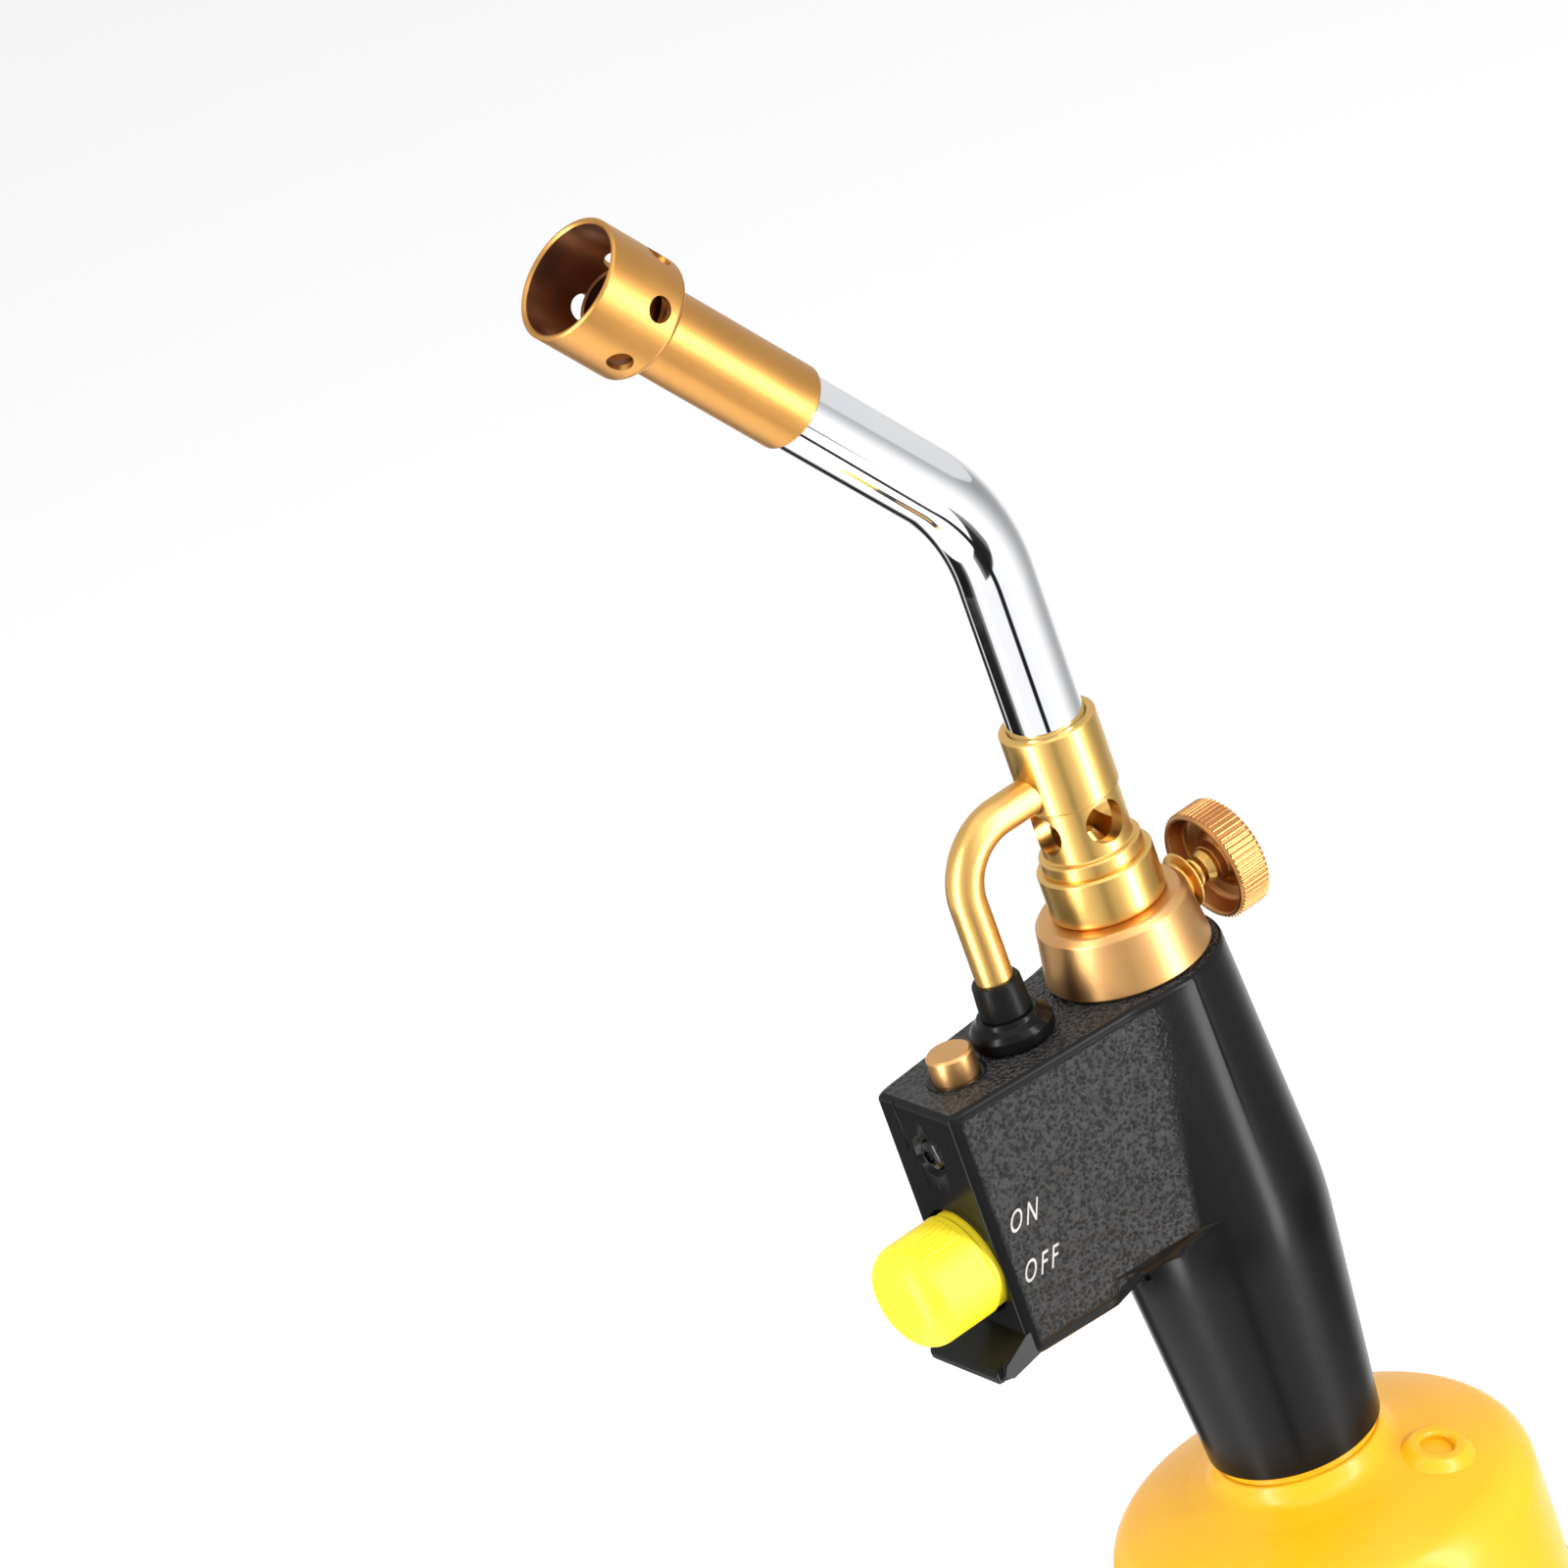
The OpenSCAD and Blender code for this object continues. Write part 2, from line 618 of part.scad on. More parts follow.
lock_travel = 3;
lock_top = 101.2;
module lock_bush() color(black) on_head() translate([lock_x, 0, 0]) rotate_extrude() polygon([
    [lock_r + fit, top_z - 3], [5.5, top_z - 3], [5.5, top_z + 0.25],
    [lock_r + fit, top_z + 0.25],
]);

module lock_button() color(satin_brass) on_head() translate([lock_x, 0, 0]) rotate_extrude()
    polygon([
        [0, top_z - 2], [lock_r, top_z - 2], [lock_r, lock_top - 0.5], [lock_r - 0.5, lock_top],
        [0, lock_top],
    ]);

module lock_pin() color(steel) on_head() translate([lock_x, 0, 0]) {
    translate([0, 0, 85.2]) cylinder(h = top_z - 2 - 85.2, r = 1.6);
    translate([0, 0, 85.8]) cylinder(h = 1, r = 2.05);
}

module lock_spring() color(steel) on_head() translate([lock_x, 0, 0]) {
    pitch = 1.8;
    for (i = [0 : 3]) translate([0, 0, shelf_z + 1.55 + i * pitch])
        rotate_extrude() translate([2.6, 0]) circle(r = 0.3, $fn = 16);
    translate([2.6, 0, shelf_z + 1.55]) cylinder(h = 3 * pitch, r = 0.18);
}

// --------------------------------------------------------- regulator's knob

module regulator_knob() color([0.92, 0.74, 0.42]) on_head() difference() {
    translate([0, 0, knob_z]) rotate([0, -90, 0]) rotate_extrude() polygon([
        [2.02, -knob_x0 + 1.2], [4.6, -knob_x0 + 1.2], [5.2, -knob_x0 + 3.4],
        [8.3, -knob_x0 + 3.4], [8.8, -knob_x0], [9.5, -knob_x0], [knob_r, -knob_x0 + 0.5],
        [knob_r, -knob_x0 + knob_w - 0.6], [knob_r - 0.6, -knob_x0 + knob_w],
        [2.02, -knob_x0 + knob_w],
    ]);
    for (i = [0 : 59]) translate([0, 0, knob_z]) rotate([6 * i, 0, 0])
        translate([knob_x0 - knob_w - 1, -0.3, knob_r - 0.25]) cube([knob_w + 2, 0.6, 1]);
}

module regulator_stem() color(brass) on_head() {
    rod_x(knob_x0 - 4.4, -7.6, 1.9, knob_z);
    rod_x(knob_x0 - 1.15, -17, 3.2, knob_z);
}

module knob_screw() color(steel) on_head() difference() {
    rod_x(knob_x0 - knob_w - 0.9, knob_x0 - 4.45, 1.95, knob_z);
    translate([knob_x0 - knob_w - 1.5, -2.5, knob_z - 0.3]) cube([1.1, 5, 0.6]);
}

module regulator_needle() color(steel) on_head() {
    rod_x(-6.4, -2.6, 2.42, knob_z);
    translate([-2.6, 0, knob_z]) rotate([0, 90, 0]) cylinder(h = 1.1, r1 = 1.5, r2 = 0.6);
}

// ------------------------------------------------------------------ nozzle

cup_back = 2.2;
module nozzle_barrel() color(brass) on_nozzle() rotate_extrude() polygon([
    [tube_r + fit, barrel_s0], [barrel_r - 0.5, barrel_s0], [barrel_r, barrel_s0 + 0.5],
    [barrel_r, barrel_s1 + 1.6], [tube_r - 0.4, barrel_s1 + 1.6],
    [tube_r - 0.4, tube_end + 1], [tube_r + fit, tube_end + 1],
]);

module nozzle_cup() color(brass) on_nozzle() difference() {
    rotate_extrude() polygon([
        [barrel_r + 0.02, barrel_s1], [cup_r - cup_back, barrel_s1],
        [cup_r - cup_back * 0.29, barrel_s1 + cup_back * 0.29], [cup_r, barrel_s1 + cup_back],
        [cup_r, mouth_s - 0.4], [cup_r - 0.4, mouth_s], [cup_r - 0.9, mouth_s],
        [cup_r - 1.2, mouth_s - 0.5], [cup_r - 1.2, barrel_s1 + 2.6],
        [barrel_r + 0.02, barrel_s1 + 1.6],
    ]);
    for (i = [0 : 5]) rotate([0, 0, 60 * i + 37.8]) rod_x(6, 14, 2.2, barrel_s1 + 4.9);
}

module flame_holder() color([0.7, 0.55, 0.35]) on_nozzle() difference() {
    union() {
        ring(66, 72, tube_r - 0.43, 4.6);
        ring(66, mouth_s - 8.2, 5.4, 4.6);
    }
    for (i = [0 : 5]) rotate([0, 0, 60 * i]) translate([tube_r - 0.7, 0, 65]) cylinder(h = 9, r = 0.7);
}

// ------------------------------------------------------------------- pieces

gas_cylinder();
foot_ring();
cylinder_label();
cylinder_neck();
cylinder_valve_core();
relief_boss();
relief_valve();
inlet_seal();
body_casting();
front_plate();
plate_screw();
inlet_socket();
pin_depressor();
inlet_filter();
valve_block();
feed_pipe();
outlet_block();
housing_gasket();
regulator_housing();
needle_gland();
jet_collar();
gas_jet();
air_mixer();
tube_socket();
burner_tube();
conduit_tube();
conduit_boot();
boot_nut();
igniter_lead();
electrode_insulator();
spark_electrode();
igniter_housing();
trigger_guide();
lock_bush();
selector_collar();
trigger_cap();
trigger_stem();
trigger_spring();
latch_carriage();
igniter_plunger();
gas_valve_stem();
lock_button();
lock_pin();
lock_spring();
regulator_knob();
regulator_stem();
knob_screw();
regulator_needle();
nozzle_barrel();
nozzle_cup();
flame_holder();
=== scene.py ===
"""Looks of a trigger-start propane torch on its gas cylinder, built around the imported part."""

import json
import logging
import math
from dataclasses import dataclass
from enum import Enum
from typing import Callable, Iterable, Sequence

import bmesh
import bpy
from mathutils import Matrix, Vector

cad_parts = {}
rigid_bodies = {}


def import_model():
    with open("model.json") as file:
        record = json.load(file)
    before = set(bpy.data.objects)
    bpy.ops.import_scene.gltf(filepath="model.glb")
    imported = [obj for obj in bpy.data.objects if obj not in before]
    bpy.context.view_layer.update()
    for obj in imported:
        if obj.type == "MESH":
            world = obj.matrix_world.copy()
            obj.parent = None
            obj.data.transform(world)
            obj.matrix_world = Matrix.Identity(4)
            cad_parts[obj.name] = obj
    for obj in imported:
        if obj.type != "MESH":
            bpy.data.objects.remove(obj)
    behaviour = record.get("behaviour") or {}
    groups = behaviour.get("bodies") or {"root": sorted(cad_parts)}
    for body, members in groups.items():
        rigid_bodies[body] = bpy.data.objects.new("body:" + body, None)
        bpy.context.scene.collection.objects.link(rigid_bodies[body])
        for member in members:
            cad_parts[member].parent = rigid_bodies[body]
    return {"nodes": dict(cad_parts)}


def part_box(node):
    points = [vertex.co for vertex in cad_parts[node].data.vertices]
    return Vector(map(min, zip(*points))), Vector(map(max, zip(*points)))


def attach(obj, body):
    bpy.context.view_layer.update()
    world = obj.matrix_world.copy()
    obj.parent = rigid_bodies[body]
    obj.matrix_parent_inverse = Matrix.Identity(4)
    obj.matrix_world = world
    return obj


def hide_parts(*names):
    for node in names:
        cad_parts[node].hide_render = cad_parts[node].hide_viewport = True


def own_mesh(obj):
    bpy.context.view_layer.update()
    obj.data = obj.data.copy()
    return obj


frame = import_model()

MM = 0.001
ROUND = 128
SHORT = 1e-6
WELD = 1e-7
LOG = logging.getLogger("torch")
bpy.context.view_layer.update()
HEAD_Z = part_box("body_casting")[0].z / MM
DOME_START = math.radians(16)
TRIGGER_Z = 65.6
KNOB_Z = 103.0
CONDUIT_Z = 133.0

Point = tuple[float, float]
Socket = bpy.types.NodeSocket
Outline = list[tuple[float, ...]]


class How(Enum):
    """What a maths node does with its two inputs."""

    ADD = "ADD"
    SUBTRACT = "SUBTRACT"
    MULTIPLY = "MULTIPLY"
    DIVIDE = "DIVIDE"
    MAXIMUM = "MAXIMUM"
    ABSOLUTE = "ABSOLUTE"
    WRAP = "FLOORED_MODULO"
    ARCTAN2 = "ARCTAN2"
    SINE = "SINE"
    COSINE = "COSINE"


def middle_x(node: str) -> float:
    """Returns the middle of a CAD node's box along X, in millimetres."""
    return sum(corner.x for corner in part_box(node)) / 2 / MM


def hang(name: str, data: bpy.types.ID) -> bpy.types.Object:
    """Puts data into the scene as an object.

    Args:
        name: The object's name.
        data: Its mesh, curve, lamp or camera.

    Returns:
        The new object.
    """
    holder = bpy.data.objects.new(name, data)
    bpy.context.scene.collection.objects.link(holder)
    return holder


# --------------------------------------------------------------------- finishes


class Shader:
    """A node material being wired up."""

    def __init__(self, name: str) -> None:
        """Makes an empty material with one principled shader.

        Args:
            name: The material's name.
        """
        self.material = bpy.data.materials.new(name)
        self.material.use_nodes = True
        self.tree = self.material.node_tree
        self.tree.nodes.clear()
        self.out = self.tree.nodes.new("ShaderNodeOutputMaterial")
        self.skin = self.tree.nodes.new("ShaderNodeBsdfPrincipled")
        self.link(self.skin.outputs["BSDF"], self.out.inputs["Surface"])

    def link(self, source: Socket, target: Socket) -> None:
        """Joins two sockets."""
        self.tree.links.new(source, target)

    def set(self, **values: float | tuple) -> None:
        """Sets constants on the shader's own sockets; underscores stand for spaces."""
        for key, value in values.items():
            self.skin.inputs[key.replace("_", " ")].default_value = value

    def place(self) -> Socket:
        """Returns the Object coordinate socket."""
        return self.tree.nodes.new("ShaderNodeTexCoord").outputs["Object"]

    def feed(self, value: Socket | float | tuple, target: Socket) -> None:
        """Gives a socket a link or a constant.

        Args:
            value: A socket, a number or a colour.
            target: The socket that takes it.
        """
        if isinstance(value, tuple):
            target.default_value = (*value, 1.0)
        elif isinstance(value, (int, float)):
            target.default_value = value
        else:
            self.link(value, target)

    def noise(self, scale: float, detail: float = 3.0, rough: float = 0.5) -> Socket:
        """Returns a noise value.

        Args:
            scale: Cells a metre.
            detail: Octaves.
            rough: How strong the fine octaves are.

        Returns:
            The noise's factor socket.
        """
        node = self.tree.nodes.new("ShaderNodeTexNoise")
        node.inputs["Scale"].default_value = scale
        node.inputs["Detail"].default_value = detail
        node.inputs["Roughness"].default_value = rough
        self.link(self.place(), node.inputs["Vector"])
        return node.outputs["Fac"]

    def span(self, value: Socket, low: float, high: float,
             start: float = 0.0, end: float = 1.0, smooth: bool = False) -> Socket:
        """Maps a value to another range and clamps it.

        Args:
            value: The value.
            low: What start becomes.
            high: What end becomes.
            start: First value of the old range.
            end: Last value of the old range.
            smooth: Whether the ends are eased.

        Returns:
            The mapped value.
        """
        node = self.tree.nodes.new("ShaderNodeMapRange")
        if smooth:
            node.interpolation_type = "SMOOTHSTEP"
        for label, number in (("From Min", start), ("From Max", end),
                              ("To Min", low), ("To Max", high)):
            node.inputs[label].default_value = number
        self.link(value, node.inputs["Value"])
        return node.outputs["Result"]

    def sum(self, how: How, a: Socket | float, b: Socket | float = 0.0) -> Socket:
        """Works out a sum of two inputs.

        Args:
            how: What is done with them.
            a: First input.
            b: Second input, not used by every sum.

        Returns:
            The result.
        """
        node = self.tree.nodes.new("ShaderNodeMath")
        node.operation = how.value
        for socket, value in zip(node.inputs, (a, b)):
            self.feed(value, socket)
        return node.outputs["Value"]

    def blend(self, factor: Socket, a: Socket | tuple, b: Socket | tuple) -> Socket:
        """Mixes two colours.

        Args:
            factor: Nought for a, one for b.
            a: First colour.
            b: Second colour.

        Returns:
            The mixed colour.
        """
        node = self.tree.nodes.new("ShaderNodeMix")
        node.data_type = "RGBA"
        self.feed(a, node.inputs[6])
        self.feed(b, node.inputs[7])
        self.link(factor, node.inputs["Factor"])
        return node.outputs[2]

    def bump(self, height: Socket, strength: float, distance: float) -> None:
        """Adds a bump under the shader.

        Args:
            height: The bump's height, nought to one.
            strength: How much it counts.
            distance: Its full height in metres.
        """
        node = self.tree.nodes.new("ShaderNodeBump")
        node.inputs["Strength"].default_value = strength
        node.inputs["Distance"].default_value = distance
        self.link(height, node.inputs["Height"])
        self.link(node.outputs["Normal"], self.skin.inputs["Normal"])

    def axis(self, source: Socket, which: str) -> Socket:
        """Picks one component of a vector.

        Args:
            source: The vector.
            which: X, Y or Z.

        Returns:
            The component.
        """
        node = self.tree.nodes.new("ShaderNodeSeparateXYZ")
        self.link(source, node.inputs["Vector"])
        return node.outputs[which]

    def facing(self, which: str) -> Socket:
        """Returns one component of the surface's own normal."""
        return self.axis(self.tree.nodes.new("ShaderNodeNewGeometry").outputs["Normal"], which)

    def colour(self, source: Socket) -> None:
        """Wires a colour to the shader."""
        self.link(source, self.skin.inputs["Base Color"])

    def rough(self, source: Socket) -> None:
        """Wires a roughness to the shader."""
        self.link(source, self.skin.inputs["Roughness"])


@dataclass(frozen=True)
class SatinMetal:
    """A turned and bead-blasted metal: fine grain, slight stain, soft gloss."""

    name: str
    light: tuple[float, float, float]
    dark: tuple[float, float, float]
    gloss: float = 0.27
    grain: float = 9000.0
    depth: float = 0.012

    def build(self) -> bpy.types.Material:
        """Wires the material.

        Returns:
            The material.
        """
        shade = Shader(self.name)
        shade.set(Metallic=1.0)
        stain = shade.span(shade.noise(38.0, 4.0, 0.6), 0.0, 1.0, 0.32, 0.7)
        shade.colour(shade.blend(stain, self.light, self.dark))
        fine = shade.noise(self.grain, 2.0, 0.6)
        patch = shade.span(shade.noise(160.0, 3.0), self.gloss - 0.03, self.gloss + 0.05)
        shade.rough(shade.sum(How.ADD, shade.span(fine, -0.03, 0.04), patch))
        shade.bump(fine, 0.18, self.depth * MM)
        return shade.material


@dataclass(frozen=True)
class Chrome:
    """Polished plating with faint wipe marks."""

    name: str
    tint: tuple[float, float, float] = (0.86, 0.87, 0.89)
    gloss: float = 0.045

    def build(self) -> bpy.types.Material:
        """Wires the material.

        Returns:
            The material.
        """
        shade = Shader(self.name)
        shade.set(Metallic=1.0)
        cloud = shade.noise(55.0, 4.0, 0.6)
        shade.colour(shade.blend(cloud, self.tint, tuple(c * 0.93 for c in self.tint)))
        wipe = shade.noise(400.0, 3.0, 0.7)
        shade.rough(shade.span(wipe, self.gloss * 0.6, self.gloss * 1.8))
        return shade.material


@dataclass(frozen=True)
class PowderCoat:
    """Black coating, satin all over."""

    name: str
    colour: tuple[float, float, float] = (0.0042, 0.0042, 0.0044)
    bend: float = 1.23

    def start(self) -> tuple[Shader, Socket, Socket]:
        """Begins the material.

        Returns:
            The shader, its base colour and its roughness.
        """
        shade = Shader(self.name)
        shade.set(IOR=self.bend)
        base = shade.blend(shade.noise(90.0), self.colour, tuple(c * 1.35 for c in self.colour))
        return shade, base, shade.span(shade.noise(2600.0), 0.2, 0.27)

    def build(self) -> bpy.types.Material:
        """Wires the material.

        Returns:
            The material.
        """
        shade, base, gloss = self.start()
        shade.colour(base)
        shade.rough(gloss)
        shade.bump(shade.noise(1500.0, 2.0), 0.1, 0.01 * MM)
        return shade.material


@dataclass(frozen=True)
class WrinkleCoat(PowderCoat):
    """The same coating, wrinkled on the casting's flat side and top faces."""

    side_x: tuple[float, float] = (5.0 * MM, 47.4 * MM)
    side_z: tuple[float, float] = ((HEAD_Z + 50.4) * MM, (HEAD_Z + 95.1) * MM)
    fade: float = 2.5 * MM
    # Wrinkle colours: the darker one is painted shade in the hollows, the lighter one a painted
    # highlight on the crests.
    hollow: tuple[float, float, float] = (0.015, 0.0148, 0.015)
    crest_light: tuple[float, float, float] = (0.044, 0.043, 0.043)
    height: float = 0.85 * MM

    def band(self, shade: Shader, along: Socket, ends: tuple[float, float], low: float,
             high: float) -> Socket:
        """Marks the stretch between two places, with soft ends.

        Args:
            shade: The material being wired.
            along: The coordinate.
            ends: First and last place.
            low: How far the first end fades, in fades.
            high: How far the last end fades, in fades.

        Returns:
            One inside the stretch, nought outside.
        """
        first, last = ends
        rise = shade.span(along, 0.0, 1.0, first, first + low * self.fade, True)
        fall = shade.span(along, 1.0, 0.0, last - high * self.fade, last, True)
        return shade.sum(How.MULTIPLY, rise, fall)

    def mask(self, shade: Shader, spot: Socket) -> Socket:
        """Marks the wrinkled faces.

        Args:
            shade: The material being wired.
            spot: Object coordinates.

        Returns:
            One where the coat is wrinkled, nought where it is smooth.
        """
        across = shade.sum(How.ABSOLUTE, shade.facing("Y"))
        side = shade.span(across, 0.0, 1.0, 0.93, 0.985)
        top = shade.span(shade.facing("Z"), 0.0, 1.0, 0.96, 0.995)
        reach = self.band(shade, shade.axis(spot, "X"), self.side_x, 3.0, 0.6)
        tall = self.band(shade, shade.axis(spot, "Z"), self.side_z, 0.5, 0.3)
        panel = shade.sum(How.MULTIPLY, side, shade.sum(How.MULTIPLY, reach, tall))
        return shade.sum(How.MAXIMUM, panel, top)

    def lumps(self, shade: Shader, spot: Socket) -> Socket:
        """Makes the wrinkles' height.

        Args:
            shade: The material being wired.
            spot: Object coordinates.

        Returns:
            The height, before the mask.
        """
        worms = shade.tree.nodes.new("ShaderNodeTexVoronoi")
        worms.feature = "SMOOTH_F1"
        worms.inputs["Scale"].default_value = 1250.0
        worms.inputs["Smoothness"].default_value = 0.55
        swirl = shade.tree.nodes.new("ShaderNodeTexNoise")
        swirl.inputs["Scale"].default_value = 900.0
        shade.link(spot, swirl.inputs["Vector"])
        warp = shade.tree.nodes.new("ShaderNodeVectorMath")
        warp.operation = "MULTIPLY_ADD"
        shade.link(swirl.outputs["Color"], warp.inputs[0])
        warp.inputs[1].default_value = (0.0016, 0.0016, 0.0016)
        shade.link(spot, warp.inputs[2])
        shade.link(warp.outputs["Vector"], worms.inputs["Vector"])
        return shade.sum(How.ADD, shade.sum(How.MULTIPLY, shade.noise(1100.0, 2.0), 0.9),
                         shade.sum(How.MULTIPLY, worms.outputs["Distance"], 0.8))

    def build(self) -> bpy.types.Material:
        """Wires the material.

        Returns:
            The material.
        """
        shade, base, gloss = self.start()
        spot = shade.place()
        mask, lumps = self.mask(shade, spot), self.lumps(shade, spot)
        # Crests painted lighter and hollows darker, following the wrinkles' height: painted
        # highlight and painted shade.
        crest_light = shade.span(lumps, 0.0, 1.0, 0.62, 1.0, True)
        shade.colour(shade.blend(shade.sum(How.MULTIPLY, mask, 0.9), base,
                                 shade.blend(crest_light, self.hollow, self.crest_light)))
        mix = shade.tree.nodes.new("ShaderNodeMix")
        shade.link(mask, mix.inputs[0])
        shade.link(gloss, mix.inputs[2])
        shade.link(shade.span(shade.noise(2600.0), 0.2, 0.3), mix.inputs[3])
        shade.rough(mix.outputs[0])
        shade.bump(shade.sum(How.MULTIPLY, lumps, mask), 1.0, self.height)
        return shade.material


@dataclass(frozen=True)
class Plastic:
    """A moulded plastic with faint flow marks and a fine skin."""

    name: str
    colour: tuple[float, float, float]
    deep: tuple[float, float, float]
    gloss: float = 0.32
    bend: float = 1.49

    def build(self) -> bpy.types.Material:
        """Wires the material.

        Returns:
            The material.
        """
        shade = Shader(self.name)
        shade.set(IOR=self.bend)
        flow = shade.span(shade.noise(60.0, 2.0), 0.0, 1.0, 0.35, 0.65)
        shade.colour(shade.blend(flow, self.colour, self.deep))
        fine = shade.noise(3200.0, 2.0)
        shade.rough(shade.span(fine, self.gloss - 0.05, self.gloss + 0.06))
        shade.bump(fine, 0.12, 0.012 * MM)
        return shade.material


@dataclass(frozen=True)
class GlossPaint:
    """Sprayed enamel over sheet steel, with a slight orange peel and a clear coat."""

    name: str
    colour: tuple[float, float, float]
    deep: tuple[float, float, float]

    def build(self) -> bpy.types.Material:
        """Wires the material.

        Returns:
            The material.
        """
        shade = Shader(self.name)
        shade.set(IOR=1.36, Coat_Weight=0.1, Coat_Roughness=0.1)
        tone = shade.span(shade.noise(24.0, 3.0), 0.0, 1.0, 0.3, 0.7)
        shade.colour(shade.blend(tone, self.colour, self.deep))
        peel = shade.noise(420.0, 2.0)
        shade.rough(shade.span(peel, 0.3, 0.38))
        shade.bump(peel, 0.12, 0.03 * MM)
        return shade.material


class Finishes:
    """Every finish of the torch, made once."""

    def __init__(self) -> None:
        """Builds each material."""
        self.brass = SatinMetal("satin_brass", (0.70, 0.425, 0.135), (0.64, 0.375, 0.11),
                                gloss=0.34).build()
        self.nozzle_brass = SatinMetal("nozzle_brass", (0.55, 0.275, 0.075), (0.495, 0.245, 0.062),
                                       gloss=0.36).build()
        self.knob_brass = SatinMetal("knob_brass", (0.51, 0.25, 0.09), (0.46, 0.215, 0.075),
                                     gloss=0.34).build()
        self.bright_brass = SatinMetal("turned_brass", (0.74, 0.465, 0.14), (0.68, 0.415, 0.115),
                                       gloss=0.3).build()
        self.pink_brass = SatinMetal("blasted_bronze", (0.69, 0.385, 0.15), (0.61, 0.335, 0.125),
                                     gloss=0.36).build()
        # Darker brass: painted shade, used on the relief valve's plug so that its hole looks dark.
        self.hole_shade_brass = SatinMetal("shaded_brass", (0.42, 0.21, 0.032), (0.34, 0.16, 0.022),
                                     gloss=0.3).build()
        self.copper = SatinMetal("heated_copper", (0.45, 0.24, 0.13), (0.30, 0.15, 0.08),
                                 gloss=0.33).build()
        self.steel = SatinMetal("drawn_steel", (0.62, 0.63, 0.65), (0.52, 0.53, 0.55),
                                gloss=0.2).build()
        self.dark_steel = SatinMetal("blackened_steel", (0.045, 0.045, 0.048), (0.03, 0.03, 0.032),
                                     gloss=0.22).build()
        self.chrome = Chrome("chrome_plate").build()
        self.casting = WrinkleCoat("wrinkle_coat").build()
        self.coat = PowderCoat("smooth_coat").build()
        self.rubber = Plastic("black_rubber", (0.004, 0.004, 0.004), (0.006, 0.006, 0.006),
                              gloss=0.36, bend=1.22).build()
        self.black_plastic = Plastic("black_nylon", (0.003, 0.003, 0.003), (0.005, 0.005, 0.005),
                                     gloss=0.22, bend=1.22).build()
        self.yellow = Plastic("yellow_plastic", (0.76, 0.60, 0.010), (0.74, 0.57, 0.008),
                              gloss=0.46).build()
        self.pale_plastic = Plastic("pale_nylon", (0.72, 0.71, 0.66), (0.66, 0.65, 0.6),
                                    gloss=0.4).build()
        self.silicone = Plastic("red_silicone", (0.32, 0.03, 0.025), (0.25, 0.02, 0.02),
                                gloss=0.45).build()
        self.ceramic = Plastic("glazed_ceramic", (0.83, 0.81, 0.75), (0.78, 0.76, 0.7),
                               gloss=0.15).build()
        self.paint = GlossPaint("amber_enamel", (0.70, 0.34, 0.006), (0.67, 0.315, 0.005)).build()
        self.label = Plastic("label_film", (0.018, 0.018, 0.022), (0.012, 0.012, 0.015),
                             gloss=0.25).build()
        self.ink = Plastic("pale_ink", (0.42, 0.385, 0.36), (0.30, 0.28, 0.26), gloss=0.5).build()


# ------------------------------------------------------------------- mesh making


@dataclass(frozen=True)
class Place:
    """Where a piece's own axis lies: its third axis runs along axis."""

    origin: tuple[float, float, float]
    axis: tuple[float, float, float] = (0.0, 0.0, 1.0)
    side: tuple[float, float, float] = (1.0, 0.0, 0.0)

    def matrix(self) -> Matrix:
        """Works out the way from the piece's own millimetres to metres.

        Returns:
            The matrix.
        """
        along = Vector(self.axis).normalized()
        first = Vector(self.side)
        first = (first - along * first.dot(along)).normalized()
        second = along.cross(first)
        turn = Matrix((first, second, along)).transposed().to_4x4()
        return Matrix.Translation(Vector(self.origin) * MM) @ turn @ Matrix.Scale(MM, 4)


def forward(height: float, across: float = 0.0) -> Place:
    """Returns an axis that runs forward, at a height over the sleeve's edge."""
    return Place((0, across, HEAD_Z + height), (1, 0, 0), (0, 1, 0))


def backward(height: float) -> Place:
    """Returns an axis that runs backward, at a height over the sleeve's edge."""
    return Place((0, 0, HEAD_Z + height), (-1, 0, 0), (0, 1, 0))


def rounded(corners: Outline, steps: int = 5) -> list[Vector]:
    """Rounds a closed outline's corners.

    Args:
        corners: For each corner, its distance from the axis, its distance along the axis and,
            where it is rounded, the rounding's radius.
        steps: Segments in each rounding.

    Returns:
        The rounded outline's points.
    """
    points: list[Vector] = []
    spots = [Vector(corner[:2]) for corner in corners]
    for i, (spot, corner) in enumerate(zip(spots, corners)):
        before, after = spots[i - 1] - spot, spots[(i + 1) % len(spots)] - spot
        soft = corner[2] if len(corner) > 2 else 0.0
        if soft <= 0 or before.length < SHORT or after.length < SHORT:
            points.append(spot)
            continue
        angle = before.angle(after)
        back = min(soft / math.tan(angle / 2), 0.48 * before.length, 0.48 * after.length)
        start = spot + before.normalized() * back
        end = spot + after.normalized() * back
        radius = back * math.tan(angle / 2)
        middle = spot + (before.normalized() + after.normalized()).normalized() * (
            radius / math.sin(angle / 2))
        turn = (start - middle).angle_signed(end - middle)
        for k in range(steps + 1):
            arm = (start - middle).copy()
            arm.rotate(Matrix.Rotation(-turn * k / steps, 2))
            points.append(middle + arm)
    return points


def area(points: Sequence[Vector]) -> float:
    """Works out the area inside an outline.

    Args:
        points: The outline in order.

    Returns:
        The area, negative when the outline runs clockwise.
    """
    return 0.5 * sum(a.x * b.y - b.x * a.y for a, b in zip(points, [*points[1:], points[0]]))


